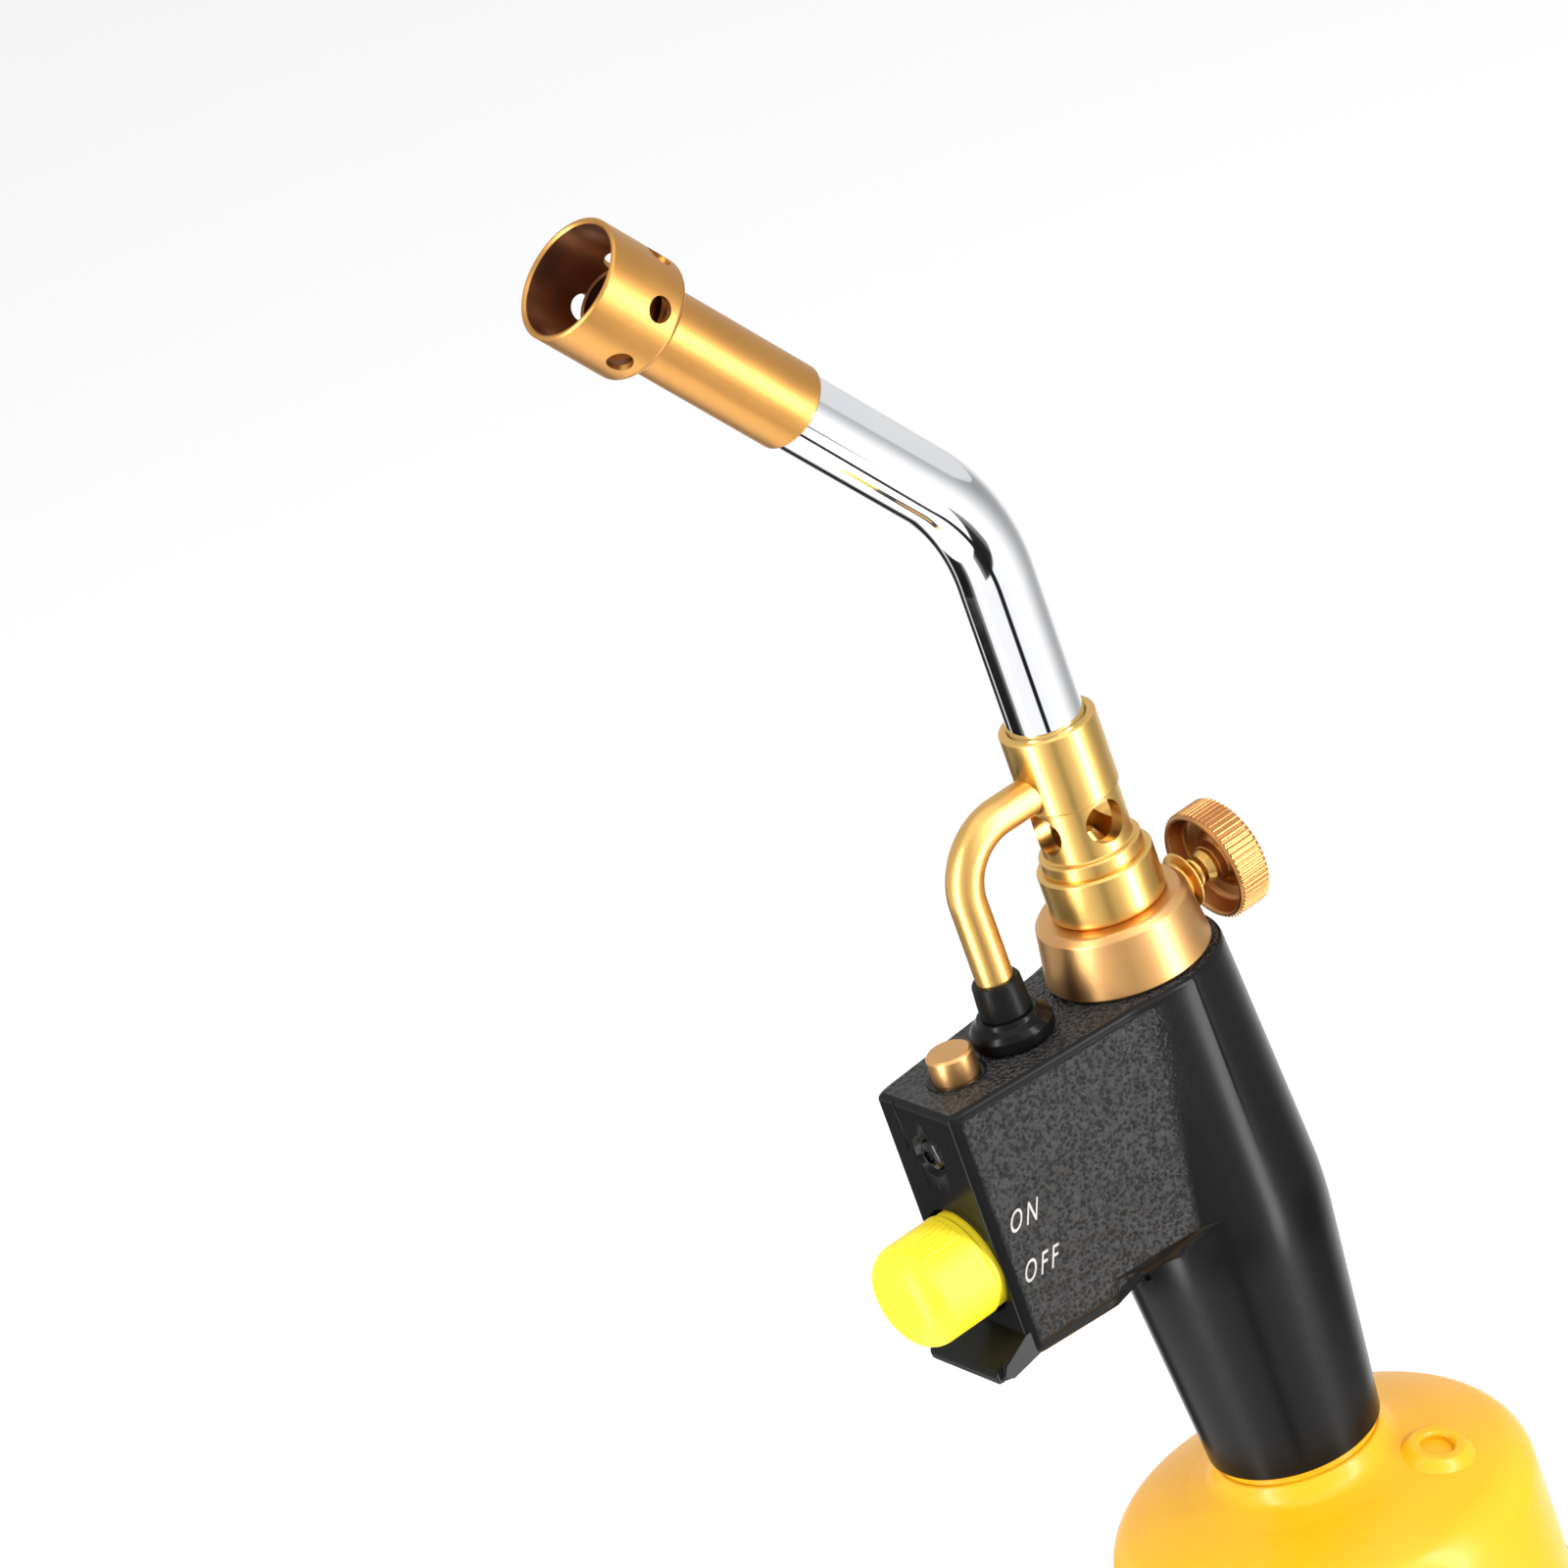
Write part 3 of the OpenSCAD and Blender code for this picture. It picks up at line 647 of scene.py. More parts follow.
def finish_mesh(name: str, verts: list, faces: list, uvs: list | None,
                materials: Sequence[bpy.types.Material], sharp: float) -> bpy.types.Object:
    """Makes an object from bare data, smooth but for edges over the sharp angle.

    Args:
        name: The piece's name.
        verts: Points in metres.
        faces: Corner indices of each face.
        uvs: One pair a face corner, or None.
        materials: The piece's materials.
        sharp: Angle in degrees above which an edge stays crisp.

    Returns:
        The new object.
    """
    mesh = bpy.data.meshes.new(name)
    mesh.from_pydata(verts, [], faces)
    if uvs:
        layer = mesh.uv_layers.new(name="UVMap")
        layer.data.foreach_set("uv", [c for pair in uvs for c in pair])
    for material in materials:
        mesh.materials.append(material)
    piece = hang(name, mesh)
    smooth(piece, sharp)
    return piece


def from_work(name: str, work: bmesh.types.BMesh,
              material: bpy.types.Material) -> bpy.types.Object:
    """Turns an edited mesh into a piece.

    Args:
        name: The piece's name.
        work: The edited mesh, which is used up.
        material: The finish.

    Returns:
        The new object.
    """
    mesh = bpy.data.meshes.new(name)
    work.to_mesh(mesh)
    work.free()
    mesh.materials.append(material)
    return hang(name, mesh)


def smooth(piece: bpy.types.Object, sharp: float = 30.0) -> None:
    """Shades a piece smooth, with area-weighted normals.

    Args:
        piece: The piece.
        sharp: Angle in degrees above which an edge stays crisp.
    """
    mesh = piece.data
    mesh.validate()
    mesh.polygons.foreach_set("use_smooth", [True] * len(mesh.polygons))
    mesh.set_sharp_from_angle(angle=math.radians(sharp))
    weigh = piece.modifiers.new("weigh", "WEIGHTED_NORMAL")
    weigh.keep_sharp = True
    weigh.weight = 60
    settle(piece)


def settle(piece: bpy.types.Object) -> None:
    """Turns a piece's modifiers into its mesh.

    Args:
        piece: The piece.
    """
    graph = bpy.context.evaluated_depsgraph_get()
    graph.update()
    mesh = bpy.data.meshes.new_from_object(piece.evaluated_get(graph))
    piece.modifiers.clear()
    old, piece.data = piece.data, mesh
    bpy.data.meshes.remove(old)
    mesh.name = piece.name


def turned(name: str, corners: Outline, place: Place,
           material: bpy.types.Material | Sequence[bpy.types.Material],
           sides: int = ROUND, steps: int = 5, sharp: float = 30.0,
           paint: Callable[[Vector], int] | None = None) -> bpy.types.Object:
    """Turns an outline about its axis, as on a lathe.

    Args:
        name: The piece's name.
        corners: The outline; points at no radius close it on the axis.
        place: Where the axis lies.
        material: The finish, or a list of them.
        sides: Segments round the axis.
        steps: Segments in each rounding.
        sharp: Angle in degrees above which an edge stays crisp.
        paint: Chooses a material's index from an outline segment's middle.

    Returns:
        The turned piece.
    """
    points = rounded(corners, steps)
    if area(points) < 0:
        points.reverse()
    matrix = place.matrix()
    rings: list[list[int]] = []
    verts: list[Vector] = []
    for p in points:
        if p.x < SHORT:
            rings.append([len(verts)])
            verts.append(matrix @ Vector((0, 0, p.y)))
            continue
        rings.append(list(range(len(verts), len(verts) + sides)))
        for k in range(sides):
            a = 2 * math.pi * k / sides
            verts.append(matrix @ Vector((p.x * math.cos(a), p.x * math.sin(a), p.y)))
    faces, uvs, chosen = [], [], []
    run = 0.0
    for i, ring in enumerate(rings):
        j = (i + 1) % len(rings)
        after = rings[j]
        if len(ring) == 1 and len(after) == 1:
            continue
        step = (points[j] - points[i]).length
        low, high = run * MM, (run + step) * MM
        run += step
        middle = (points[i] + points[j]) / 2
        index = paint(middle) if paint else 0
        for k in range(sides):
            m = (k + 1) % sides
            u, v = k / sides, (k + 1) / sides
            if len(ring) == 1:
                faces.append((ring[0], after[m], after[k]))
                uvs += [(u, low), (v, high), (u, high)]
            elif len(after) == 1:
                faces.append((ring[k], ring[m], after[0]))
                uvs += [(u, low), (v, low), (u, high)]
            else:
                faces.append((ring[k], ring[m], after[m], after[k]))
                uvs += [(u, low), (v, low), (v, high), (u, high)]
            chosen.append(index)
    materials = [material] if isinstance(material, bpy.types.Material) else list(material)
    piece = finish_mesh(name, verts, faces, uvs, materials, sharp)
    if paint:
        piece.data.polygons.foreach_set("material_index", chosen)
    return piece


def piped(name: str, route: Sequence[tuple[Vector, Vector]], outer: float, inner: float,
          material: bpy.types.Material, sides: int = 64) -> bpy.types.Object:
    """Makes a tube along a route that lies in the XZ plane.

    Args:
        name: The piece's name.
        route: Points and directions, in millimetres.
        outer: Outside radius.
        inner: Bore radius.
        material: The finish.
        sides: Segments round the tube.

    Returns:
        The tube, closed at both rims.
    """
    verts: list[Vector] = []
    levels: list[list[int]] = []
    across = Vector((0, 1, 0))
    rim = min(0.15, (outer - inner) / 3)
    first, last = route[0], route[-1]
    stations = [
        (first[0], first[1], outer - rim),
        (first[0] + first[1] * rim, first[1], outer),
        *((p, d, outer) for p, d in route[1:-1]),
        (last[0] - last[1] * rim, last[1], outer),
        (last[0], last[1], outer - rim),
        (last[0], last[1], inner),
        *((p, d, inner) for p, d in reversed(route[1:-1])),
        (first[0], first[1], inner),
    ]
    for point, heading, radius in stations:
        up = across.cross(heading)
        levels.append(list(range(len(verts), len(verts) + sides)))
        for k in range(sides):
            a = 2 * math.pi * k / sides
            verts.append((point + (across * math.cos(a) - up * math.sin(a)) * radius) * MM)
    faces, uvs = [], []
    count = len(levels)
    for i in range(count):
        lower, upper = levels[i], levels[(i + 1) % count]
        for k in range(sides):
            m = (k + 1) % sides
            faces.append((lower[k], upper[k], upper[m], lower[m]))
            u, v = k / sides, (k + 1) / sides
            uvs += [(u, i / count), (u, (i + 1) / count), (v, (i + 1) / count), (v, i / count)]
    piece = finish_mesh(name, verts, faces, uvs, [material], 30.0)
    outward(piece)
    return piece


def outward(piece: bpy.types.Object) -> None:
    """Turns a closed piece's faces outwards and shades it again.

    Args:
        piece: The piece.
    """
    work = bmesh.new()
    work.from_mesh(piece.data)
    bmesh.ops.recalc_face_normals(work, faces=work.faces)
    if sum((f.calc_area() * f.normal.dot(f.calc_center_median())) for f in work.faces) < 0:
        bmesh.ops.reverse_faces(work, faces=work.faces)
    work.to_mesh(piece.data)
    work.free()
    smooth(piece)


def route_of(start: Vector, heading: Vector, legs: Iterable[tuple[float, float, float]],
             step: float = 3.0) -> list[tuple[Vector, Vector]]:
    """Walks straight and curved legs in the XZ plane.

    Args:
        start: First point, in millimetres.
        heading: First direction.
        legs: For each leg a straight length, then a turn in degrees and its radius.
        step: Degrees between points on a curve.

    Returns:
        Points with their directions.
    """
    at, way = start.copy(), heading.normalized()
    route = [(at.copy(), way.copy())]
    for straight, turn, radius in legs:
        at = at + way * straight
        route.append((at.copy(), way.copy()))
        pieces = max(1, int(abs(turn) / step))
        if turn == 0:
            continue
        side = Vector((0, 1, 0)).cross(way) * math.copysign(1, turn)
        centre = at + side * radius
        for k in range(1, pieces + 1):
            spin = Matrix.Rotation(math.radians(turn * k / pieces), 3, "Y")
            route.append((centre + spin @ (at - centre), spin @ way))
        at, way = route[-1][0].copy(), route[-1][1].copy()
    return route


def carve(piece: bpy.types.Object, tools: Sequence[bpy.types.Object],
          sharp: float = 30.0) -> None:
    """Cuts other solids away from a piece and removes them.

    Args:
        piece: The solid that stays.
        tools: The solids that are used up.
        sharp: Angle in degrees above which an edge stays crisp.
    """
    for tool in tools:
        change = piece.modifiers.new("carve", "BOOLEAN")
        change.operation = "DIFFERENCE"
        change.solver = "EXACT"
        change.object = tool
    settle(piece)
    for tool in tools:
        mesh = tool.data
        bpy.data.objects.remove(tool)
        bpy.data.meshes.remove(mesh)
    smooth(piece, sharp)


def drill(place: Place, radius: float, low: float, high: float,
          sides: int = 48) -> bpy.types.Object:
    """Makes a plain rod to cut a hole with.

    Args:
        place: Where its axis lies.
        radius: The hole's radius.
        low: Where it begins on the axis.
        high: Where it ends on the axis.
        sides: Segments round it.

    Returns:
        The rod.
    """
    return turned("drill", [(0, low), (radius, low), (radius, high),
                            (0, high)], place, [], sides)


def block(low: Sequence[float], high: Sequence[float],
          material: bpy.types.Material) -> bpy.types.Object:
    """Makes a box between two corners.

    Args:
        low: Its low corner, in millimetres.
        high: Its high corner, in millimetres.
        material: The finish.

    Returns:
        The box.
    """
    work = bmesh.new()
    bmesh.ops.create_cube(work, size=1.0)
    size = [b - a for a, b in zip(low, high)]
    middle = [(a + b) / 2 for a, b in zip(low, high)]
    for v in work.verts:
        v.co = Vector([(middle[i] + v.co[i] * size[i]) * MM for i in range(3)])
    piece = from_work("block", work, material)
    smooth(piece)
    return piece


# ---------------------------------------------------------------- geometry nodes


class RingOfRibs:
    """A Geometry Nodes tree that sets ribs round an axis and joins them to a body."""

    def __init__(self, name: str) -> None:
        """Builds the tree, with inputs for the count, radius, sizes and material.

        Args:
            name: The tree's name.
        """
        self.tree = bpy.data.node_groups.new(name, "GeometryNodeTree")
        face = self.tree.interface
        face.new_socket("Geometry", in_out="INPUT", socket_type="NodeSocketGeometry")
        self.ids: dict[str, str] = {}
        for label, kind in (("Count", "Int"), ("Radius", "Float"), ("Length", "Float"),
                            ("Thickness", "Float"), ("Centre", "Float"), ("First angle", "Float"),
                            ("Sweep", "Float"), ("Finish", "Material")):
            socket = face.new_socket(label, in_out="INPUT", socket_type=f"NodeSocket{kind}")
            self.ids[label] = socket.identifier
        face.new_socket("Geometry", in_out="OUTPUT", socket_type="NodeSocketGeometry")
        self._wire()

    def _node(self, kind: str, **options: object) -> bpy.types.Node:
        """Adds a node.

        Args:
            kind: Its type.
            **options: Its settings.

        Returns:
            The new node.
        """
        node = self.tree.nodes.new(kind)
        for key, value in options.items():
            setattr(node, key, value)
        return node

    def _maths(self, how: How, a: Socket | float, b: Socket | float) -> Socket:
        """Works out a sum of two inputs.

        Args:
            how: What is done with them.
            a: First input.
            b: Second input.

        Returns:
            The result.
        """
        node = self._node("ShaderNodeMath", operation=how.value)
        for socket, value in zip(node.inputs, (a, b)):
            if isinstance(value, (int, float)):
                socket.default_value = value
            else:
                self.tree.links.new(value, socket)
        return node.outputs[0]

    def _wire(self) -> None:
        """Joins the nodes: points on an arc about Z, a rib on each, realised."""
        link = self.tree.links.new
        source = self._node("NodeGroupInput").outputs
        line = self._node("GeometryNodeMeshLine")
        link(source["Count"], line.inputs["Count"])
        index = self._node("GeometryNodeInputIndex").outputs[0]
        share = self._maths(How.DIVIDE, index, source["Count"])
        angle = self._maths(How.ADD, self._maths(How.MULTIPLY, share, source["Sweep"]),
                            source["First angle"])
        spot = self._node("ShaderNodeCombineXYZ")
        link(self._maths(How.MULTIPLY, self._maths(How.COSINE, angle, 0.0), source["Radius"]),
             spot.inputs["X"])
        link(self._maths(How.MULTIPLY, self._maths(How.SINE, angle, 0.0), source["Radius"]),
             spot.inputs["Y"])
        link(source["Centre"], spot.inputs["Z"])
        put = self._node("GeometryNodeSetPosition")
        link(line.outputs["Mesh"], put.inputs["Geometry"])
        link(spot.outputs["Vector"], put.inputs["Position"])
        rib = self._node("GeometryNodeMeshCylinder")
        rib.inputs["Vertices"].default_value = 8
        link(self._maths(How.MULTIPLY, source["Thickness"], 0.5), rib.inputs["Radius"])
        link(source["Length"], rib.inputs["Depth"])
        turn = self._node("ShaderNodeCombineXYZ")
        link(angle, turn.inputs["Z"])
        spread = self._node("GeometryNodeInstanceOnPoints")
        link(put.outputs["Geometry"], spread.inputs["Points"])
        link(rib.outputs["Mesh"], spread.inputs["Instance"])
        link(turn.outputs["Vector"], spread.inputs["Rotation"])
        join = self._node("GeometryNodeJoinGeometry")
        link(source["Geometry"], join.inputs["Geometry"])
        link(spread.outputs["Instances"], join.inputs["Geometry"])
        real = self._node("GeometryNodeRealizeInstances")
        link(join.outputs["Geometry"], real.inputs["Geometry"])
        dress = self._node("GeometryNodeSetMaterial")
        link(real.outputs["Geometry"], dress.inputs["Geometry"])
        link(source["Finish"], dress.inputs["Material"])
        link(dress.outputs["Geometry"], self._node("NodeGroupOutput").inputs["Geometry"])

    def add(self, piece: bpy.types.Object, **values: object) -> None:
        """Runs the tree on a piece that lies along Z in metres and keeps the plain mesh.

        Args:
            piece: The body that gets ribs.
            **values: The tree's inputs by name, with underscores for spaces.
        """
        run = piece.modifiers.new("ribs", "NODES")
        run.node_group = self.tree
        for label, value in values.items():
            run[self.ids[label.replace("_", " ")]] = value
        settle(piece)


# ------------------------------------------------------------------ sub-assemblies


def dress(node: str, material: bpy.types.Material) -> None:
    """Gives a CAD node that keeps its shape a material.

    Args:
        node: The CAD node.
        material: The finish.
    """
    mesh = frame["nodes"][node].data
    mesh.materials.clear()
    mesh.materials.append(material)


def stand_in(piece: bpy.types.Object, body: str, slot: str, *nodes: str) -> None:
    """Sets a piece on its body in place of CAD nodes and reports it.

    Args:
        piece: The finished piece.
        body: The body it rides on.
        slot: The record's material slot; not used.
        *nodes: The CAD nodes it stands for.
    """
    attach(piece, body)
    if nodes:
        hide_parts(*nodes)
    LOG.info("%s on %s: %d faces", piece.name, body, len(piece.data.polygons))


def soft_spring(node: str, body: str,
                material: bpy.types.Material) -> None:
    """Makes a smoothed copy of a CAD coil spring and sets it on the body at its moving end.

    Args:
        node: The CAD spring it stands for.
        body: The body at its moving end.
        material: The finish.
    """
    mesh = frame["nodes"][node].data.copy()
    mesh.name = node + "_coil"
    mesh.materials.clear()
    mesh.materials.append(material)
    coil = hang(mesh.name, mesh)
    work = bmesh.new()
    work.from_mesh(mesh)
    bmesh.ops.remove_doubles(work, verts=work.verts, dist=WELD)
    work.to_mesh(mesh)
    work.free()
    smooth(coil, 45.0)
    stand_in(coil, body, "steel", node)
    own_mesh(coil)


@dataclass
class GasCylinder:
    """The painted gas cylinder with its foot, label and relief valve."""

    radius: float = 38.1
    wall: float = 1.2
    crown_sphere: float = 75.3
    shoulder: float = 8.8
    foot_round: float = 7.0
    relief_out: float = 24.0
    relief_azimuth: float = 126.0

    def __post_init__(self) -> None:
        """Works out the crown's height and the shoulder's place."""
        self.crown = HEAD_Z - 3.5
        self.lean = math.asin((self.radius - self.shoulder) / (self.crown_sphere - self.shoulder))
        self.shoulder_z = (self.crown - self.crown_sphere
                           + (self.crown_sphere - self.shoulder) * math.cos(self.lean))

    def skin(self, inset: float) -> Outline:
        """Draws the shell's outline from the neck seat to the base.

        Args:
            inset: How far it is drawn in.

        Returns:
            The outline's corners.
        """
        line: Outline = []
        middle = self.crown - self.crown_sphere
        for k in range(15):
            a = DOME_START + (self.lean - DOME_START) * k / 14
            reach = self.crown_sphere - inset
            line.append((reach * math.sin(a), middle + reach * math.cos(a)))
        for k in range(1, 15):
            a = self.lean + (math.pi / 2 - self.lean) * k / 14
            reach = self.shoulder - inset
            line.append((self.radius - self.shoulder + reach * math.sin(a),
                         self.shoulder_z + reach * math.cos(a)))
        for k in range(11):
            a = math.pi / 2 * k / 10
            reach = self.foot_round - inset
            line.append((self.radius - self.foot_round + reach * math.cos(a),
                         10 - reach * math.sin(a)))
        return [*line, (26, 4.5 + inset, 3), (0, 9 + inset)]

    def shell(self) -> Outline:
        """Draws the shell with the raised neck seat.

        Returns:
            The closed outline's corners.
        """
        c = self.crown
        seat = [(10.6, c + 1.9), (15.0, c + 1.9, 0.6), (16.4, c - 1.1, 4.0)]
        under = self.skin(self.wall)
        under.reverse()
        return [*seat, *self.skin(0), *under, (14, c - 2.6, 1), (10.6, c - 1.4)]

    def build(self, finishes: Finishes) -> None:
        """Makes the cylinder's pieces.

        Args:
            finishes: The torch's materials.
        """
        upright = Place((0, 0, 0))
        body = turned("cylinder_shell", self.shell(), upright, finishes.paint, 192)
        stand_in(body, "cylinder", "cylinder_paint", "gas_cylinder")
        low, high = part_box("cylinder_label")
        film = turned("label_skin", [
            (self.radius + 0.03, low.z / MM), (self.radius + 0.2, low.z / MM, 0.05),
            (self.radius + 0.2, high.z / MM, 0.05), (self.radius + 0.03, high.z / MM),
        ], upright, finishes.label, 192)
        stand_in(film, "cylinder", "label", "cylinder_label")
        foot = turned("foot_band", [
            (32.2, 0, 0.3), (36.9, 0, 0.9), (37.4, 1.6, 0.6), (37.4, 6.6),
            (36.9, 5.9), (35, 4.1), (32.2, 2.98),
        ], upright, finishes.coat, 160)
        stand_in(foot, "cylinder", "casting", "foot_ring")
        self.relief(finishes)

    def relief(self, finishes: Finishes) -> None:
        """Makes the raised boss round the relief valve and the valve in it.

        Args:
            finishes: The torch's materials.
        """
        tilt = math.asin(self.relief_out / self.crown_sphere)
        way = math.radians(self.relief_azimuth)
        axis = (math.sin(tilt) * math.cos(way), math.sin(tilt) * math.sin(way), math.cos(tilt))
        foot = Vector((0, 0, self.crown - self.crown_sphere)) + Vector(axis) * self.crown_sphere
        place = Place(tuple(foot), axis)
        boss = turned("relief_collar", [
            (2.95, -0.4), (6.9, -0.45), (6.3, 0.02, 0.5), (5.5, 0.85, 0.6),
            (4.9, 1.38, 0.5), (3.4, 1.38, 0.35), (2.95, 0.9, 0.3),
        ], place, finishes.paint, 64)
        stand_in(boss, "cylinder", "cylinder_paint", "relief_boss")
        # The plug takes the darker brass: painted shade for the dark hole of the relief valve.
        valve = turned("relief_plug", [
            (0, -2.8), (2.1, -2.8), (2.1, -0.7), (2.8, -0.7),
            (2.8, -0.15, 0.2), (1.4, -0.15, 0.15), (1.1, -0.6, 0.15),
            (0, -0.6),
        ], place, finishes.hole_shade_brass, 48)
        stand_in(valve, "cylinder", "steel", "relief_valve")


@dataclass
class BodyCasting:
    """The sleeve, column and trigger box, cast in one piece."""

    sleeve: float = 15.5
    waist: float = 19.3
    waist_z: float = 46.0
    shoulder: float = 16.1
    top: float = 96.3
    box_z: float = 48.6
    face: float = 48.8
    half: float = 10.5
    slope: float = 0.1045
    front_round: float = 1.5
    edge: float = 1.25
    screw_z: float = 86.3
    lip_half: float = 10.4
    cove_top: float = 53.8
    cove_depth: float = 3.6
    cove_x: tuple[float, float] = (3.3, 31.4)
    overlap: float = 3.0
    blend: float = 2.6
    coarse: int = 400

    def column(self, z: float) -> float:
        """Works out the column's radius.

        Args:
            z: Height above the sleeve's edge.

        Returns:
            The radius.
        """
        if z <= self.waist_z:
            plain = self.sleeve + (self.waist - self.sleeve) * z / self.waist_z
        else:
            plain = self.waist + (self.shoulder - self.waist) * (z - self.waist_z) / (
                self.top - self.waist_z)
        bend = max(0.0, 1 - abs(z - self.waist_z) / 6.0)
        return plain - 0.22 * bend * bend

    def box_reach(self, a: float, inset: float) -> float:
        """Works out the box's distance from the axis.

        Args:
            a: Direction.
            inset: How far the box is drawn in.

        Returns:
            The distance, or nought behind the axis.
        """
        c, s = math.cos(a), abs(math.sin(a))
        if c <= -0.05:
            return 0.0
        reach_side = (self.half + self.slope * self.face - inset) / (s + self.slope * c)
        if c < 0.02:
            return reach_side
        reach_front = (self.face - inset) / c
        corner = 2 * self.front_round
        return soft_min(reach_front, reach_side, corner / max(0.35, c))

    def outline(self, z: float, inset: float, a: float, share: float = 1.0) -> float:
        """Returns the casting's distance from the axis.

        Args:
            z: Height above the sleeve's edge.
            inset: How far the box is drawn in.
            a: Direction.
            share: How much of the box counts, from none to one.

        Returns:
            The distance, with the column and the box blended.
        """
        plain = self.column(z)
        box = self.box_reach(a, inset + self.cove(a, z, inset))
        if box <= plain - self.overlap:
            return plain
        return plain + (soft_max(plain, box, self.blend) - plain) * share

    def cove(self, a: float, z: float, inset: float) -> float:
        """Works out the depth of the hollow under the side panel's lower edge.

        Args:
            a: Direction.
            z: Height above the sleeve's edge.
            inset: How far the box is drawn in.

        Returns:
            The depth.
        """
        if z >= self.cove_top or z < self.box_z - 0.1:
            return 0.0
        reach = self.box_reach(a, inset)
        x = reach * math.cos(a)
        low, high = self.cove_x
        fade = min(1.0, max(0.0, (high - x) / 1.4)) * min(1.0, max(0.0, (x - low + 6) / 5))
        fade = fade * fade * (3 - 2 * fade)
        share = (self.cove_top - z) / (self.cove_top - self.box_z)
        return self.cove_depth * math.sin(share * math.pi / 2) * fade

    def angles(self) -> list[float]:
        """Spreads the skin's points, closer together at the front edges.

        Returns:
            Their directions.
        """
        even = [2 * math.pi * k / self.coarse for k in range(self.coarse)]
        corner = math.atan2(self.half, self.face)
        near = [corner + math.radians(2.4) * (k / 14 - 1) for k in range(29)]
        close = near + [2 * math.pi - a for a in near]
        far = [a for a in even if all(abs(a - b) > 0.002 for b in close)]
        return sorted(far + close)

    def rows(self) -> list[tuple[float, float, float]]:
        """Sets the rows of the skin.

        Returns:
            Height, inset and share of the box for each row.
        """
        rows = [(z, 0.0, 0.0) for z in (0.35, 0.6, 1.5, 6, 12, 18, 24, 30, 35, 39, 41, 43, 45, 46,
                                        47, 48)]
        under = self.box_z
        rows += [(under, self.edge, t) for t in (0.02, 0.06, 0.12, 0.25, 0.5, 0.75, 0.93, 1.0)]
        for k in range(1, 6):
            a = math.pi / 2 * k / 5
            rows.append((under + self.edge * (1 - math.cos(a)), self.edge * (1 - math.sin(a)), 1.0))
        rows += [(z, 0.0, 1.0) for z in (50.6, 51.2, 51.8, 52.3, 52.8, 53.2, 53.5, 53.7, 53.79,
                                         53.81, 54.4, 56, 60, 66, 72, 78, 84, 90, 93.5)]
        for k in range(8):
            a = math.pi / 2 * k / 7
            rows.append((self.top - self.edge * (1 - math.sin(a)), self.edge * (1 - math.cos(a)),
                         1.0))
        return rows

    def skin(self, material: bpy.types.Material) -> bpy.types.Object:
        """Makes the casting's closed outer skin.

        Args:
            material: The finish.

        Returns:
            The skin.
        """
        verts, faces = [], []
        rows = self.rows()
        around = self.angles()
        count = len(around)
        for z, inset, share in rows:
            for a in around:
                reach = self.outline(z, inset, a, share)
                if z > self.top - self.edge - 0.01:
                    reach = self.lid(z, inset, a)
                verts.append(Vector((reach * math.cos(a), reach * math.sin(a), z + HEAD_Z)) * MM)
        bottom = len(verts)
        for a in around:
            reach = self.column(0) - 0.35
            verts.append(Vector((reach * math.cos(a), reach * math.sin(a), HEAD_Z)) * MM)
        pairs = [(i * count, (i + 1) * count) for i in range(len(rows) - 1)]
        for low, high in [*pairs, (bottom, 0)]:
            for k in range(count):
                m = (k + 1) % count
                faces.append((low + k, low + m, high + m, high + k))
        faces.append(tuple((len(rows) - 1) * count + k for k in range(count)))
        faces.append(tuple(bottom + k for k in reversed(range(count))))
        return finish_mesh("torch_casting", verts, faces, None, [material], 38.0)

    def lid(self, z: float, inset: float, a: float) -> float:
        """Works out the reach near the top, where the column's rim is drawn in as well.

        Args:
            z: Height above the sleeve's edge.
            inset: How far the box is drawn in.
            a: Direction.

        Returns:
            The distance from the axis.
        """
        plain = self.column(z) - inset * 0.5
        box = self.box_reach(a, inset)
        return plain if box <= plain - self.overlap else soft_max(plain, box, self.blend)

    def build(self, finishes: Finishes) -> None:
        """Makes the casting, hollows it and adds the guard lip and the screw.

        Args:
            finishes: The torch's materials.
        """
        skin = self.skin(finishes.casting)
        head = Place((0, 0, HEAD_Z))
        screw = forward(self.screw_z)
        core = turned("core", [
            (0, -1), (14.1, -1), (14.1, 22), (10.2, 40),
            (10.2, 93.3), (0, 93.3),
        ], head, [], 96)
        room = block((4, -8.4, HEAD_Z + 51.2), (46.9, 8.4, HEAD_Z + 93.3), finishes.coat)
        carve(skin, [core, room], 38.0)
        carve(skin, [
            drill(forward(TRIGGER_Z), 9.95, 36, 60, 96),
            drill(screw, 3.9, self.face - 1.35, self.face + 2, 64),
            drill(Place((middle_x("lock_button"), 0, HEAD_Z)), 4.25, 90, 99, 64),
            drill(Place((middle_x("conduit_boot"), 0, HEAD_Z)), 5.05, 90, 99, 64),
            drill(head, 9.2, 90, 99, 64),
            drill(forward(44.6, 2.4), 1.15, 17, 22, 32),
            block((self.face - 0.28, -5.62, HEAD_Z + 86.5), (self.face + 1, -5.42, HEAD_Z + 97),
                  finishes.coat),
        ], 38.0)
        stand_in(skin, "head", "casting", "body_casting")
        self.lip(finishes)
        self.screw(finishes, screw)

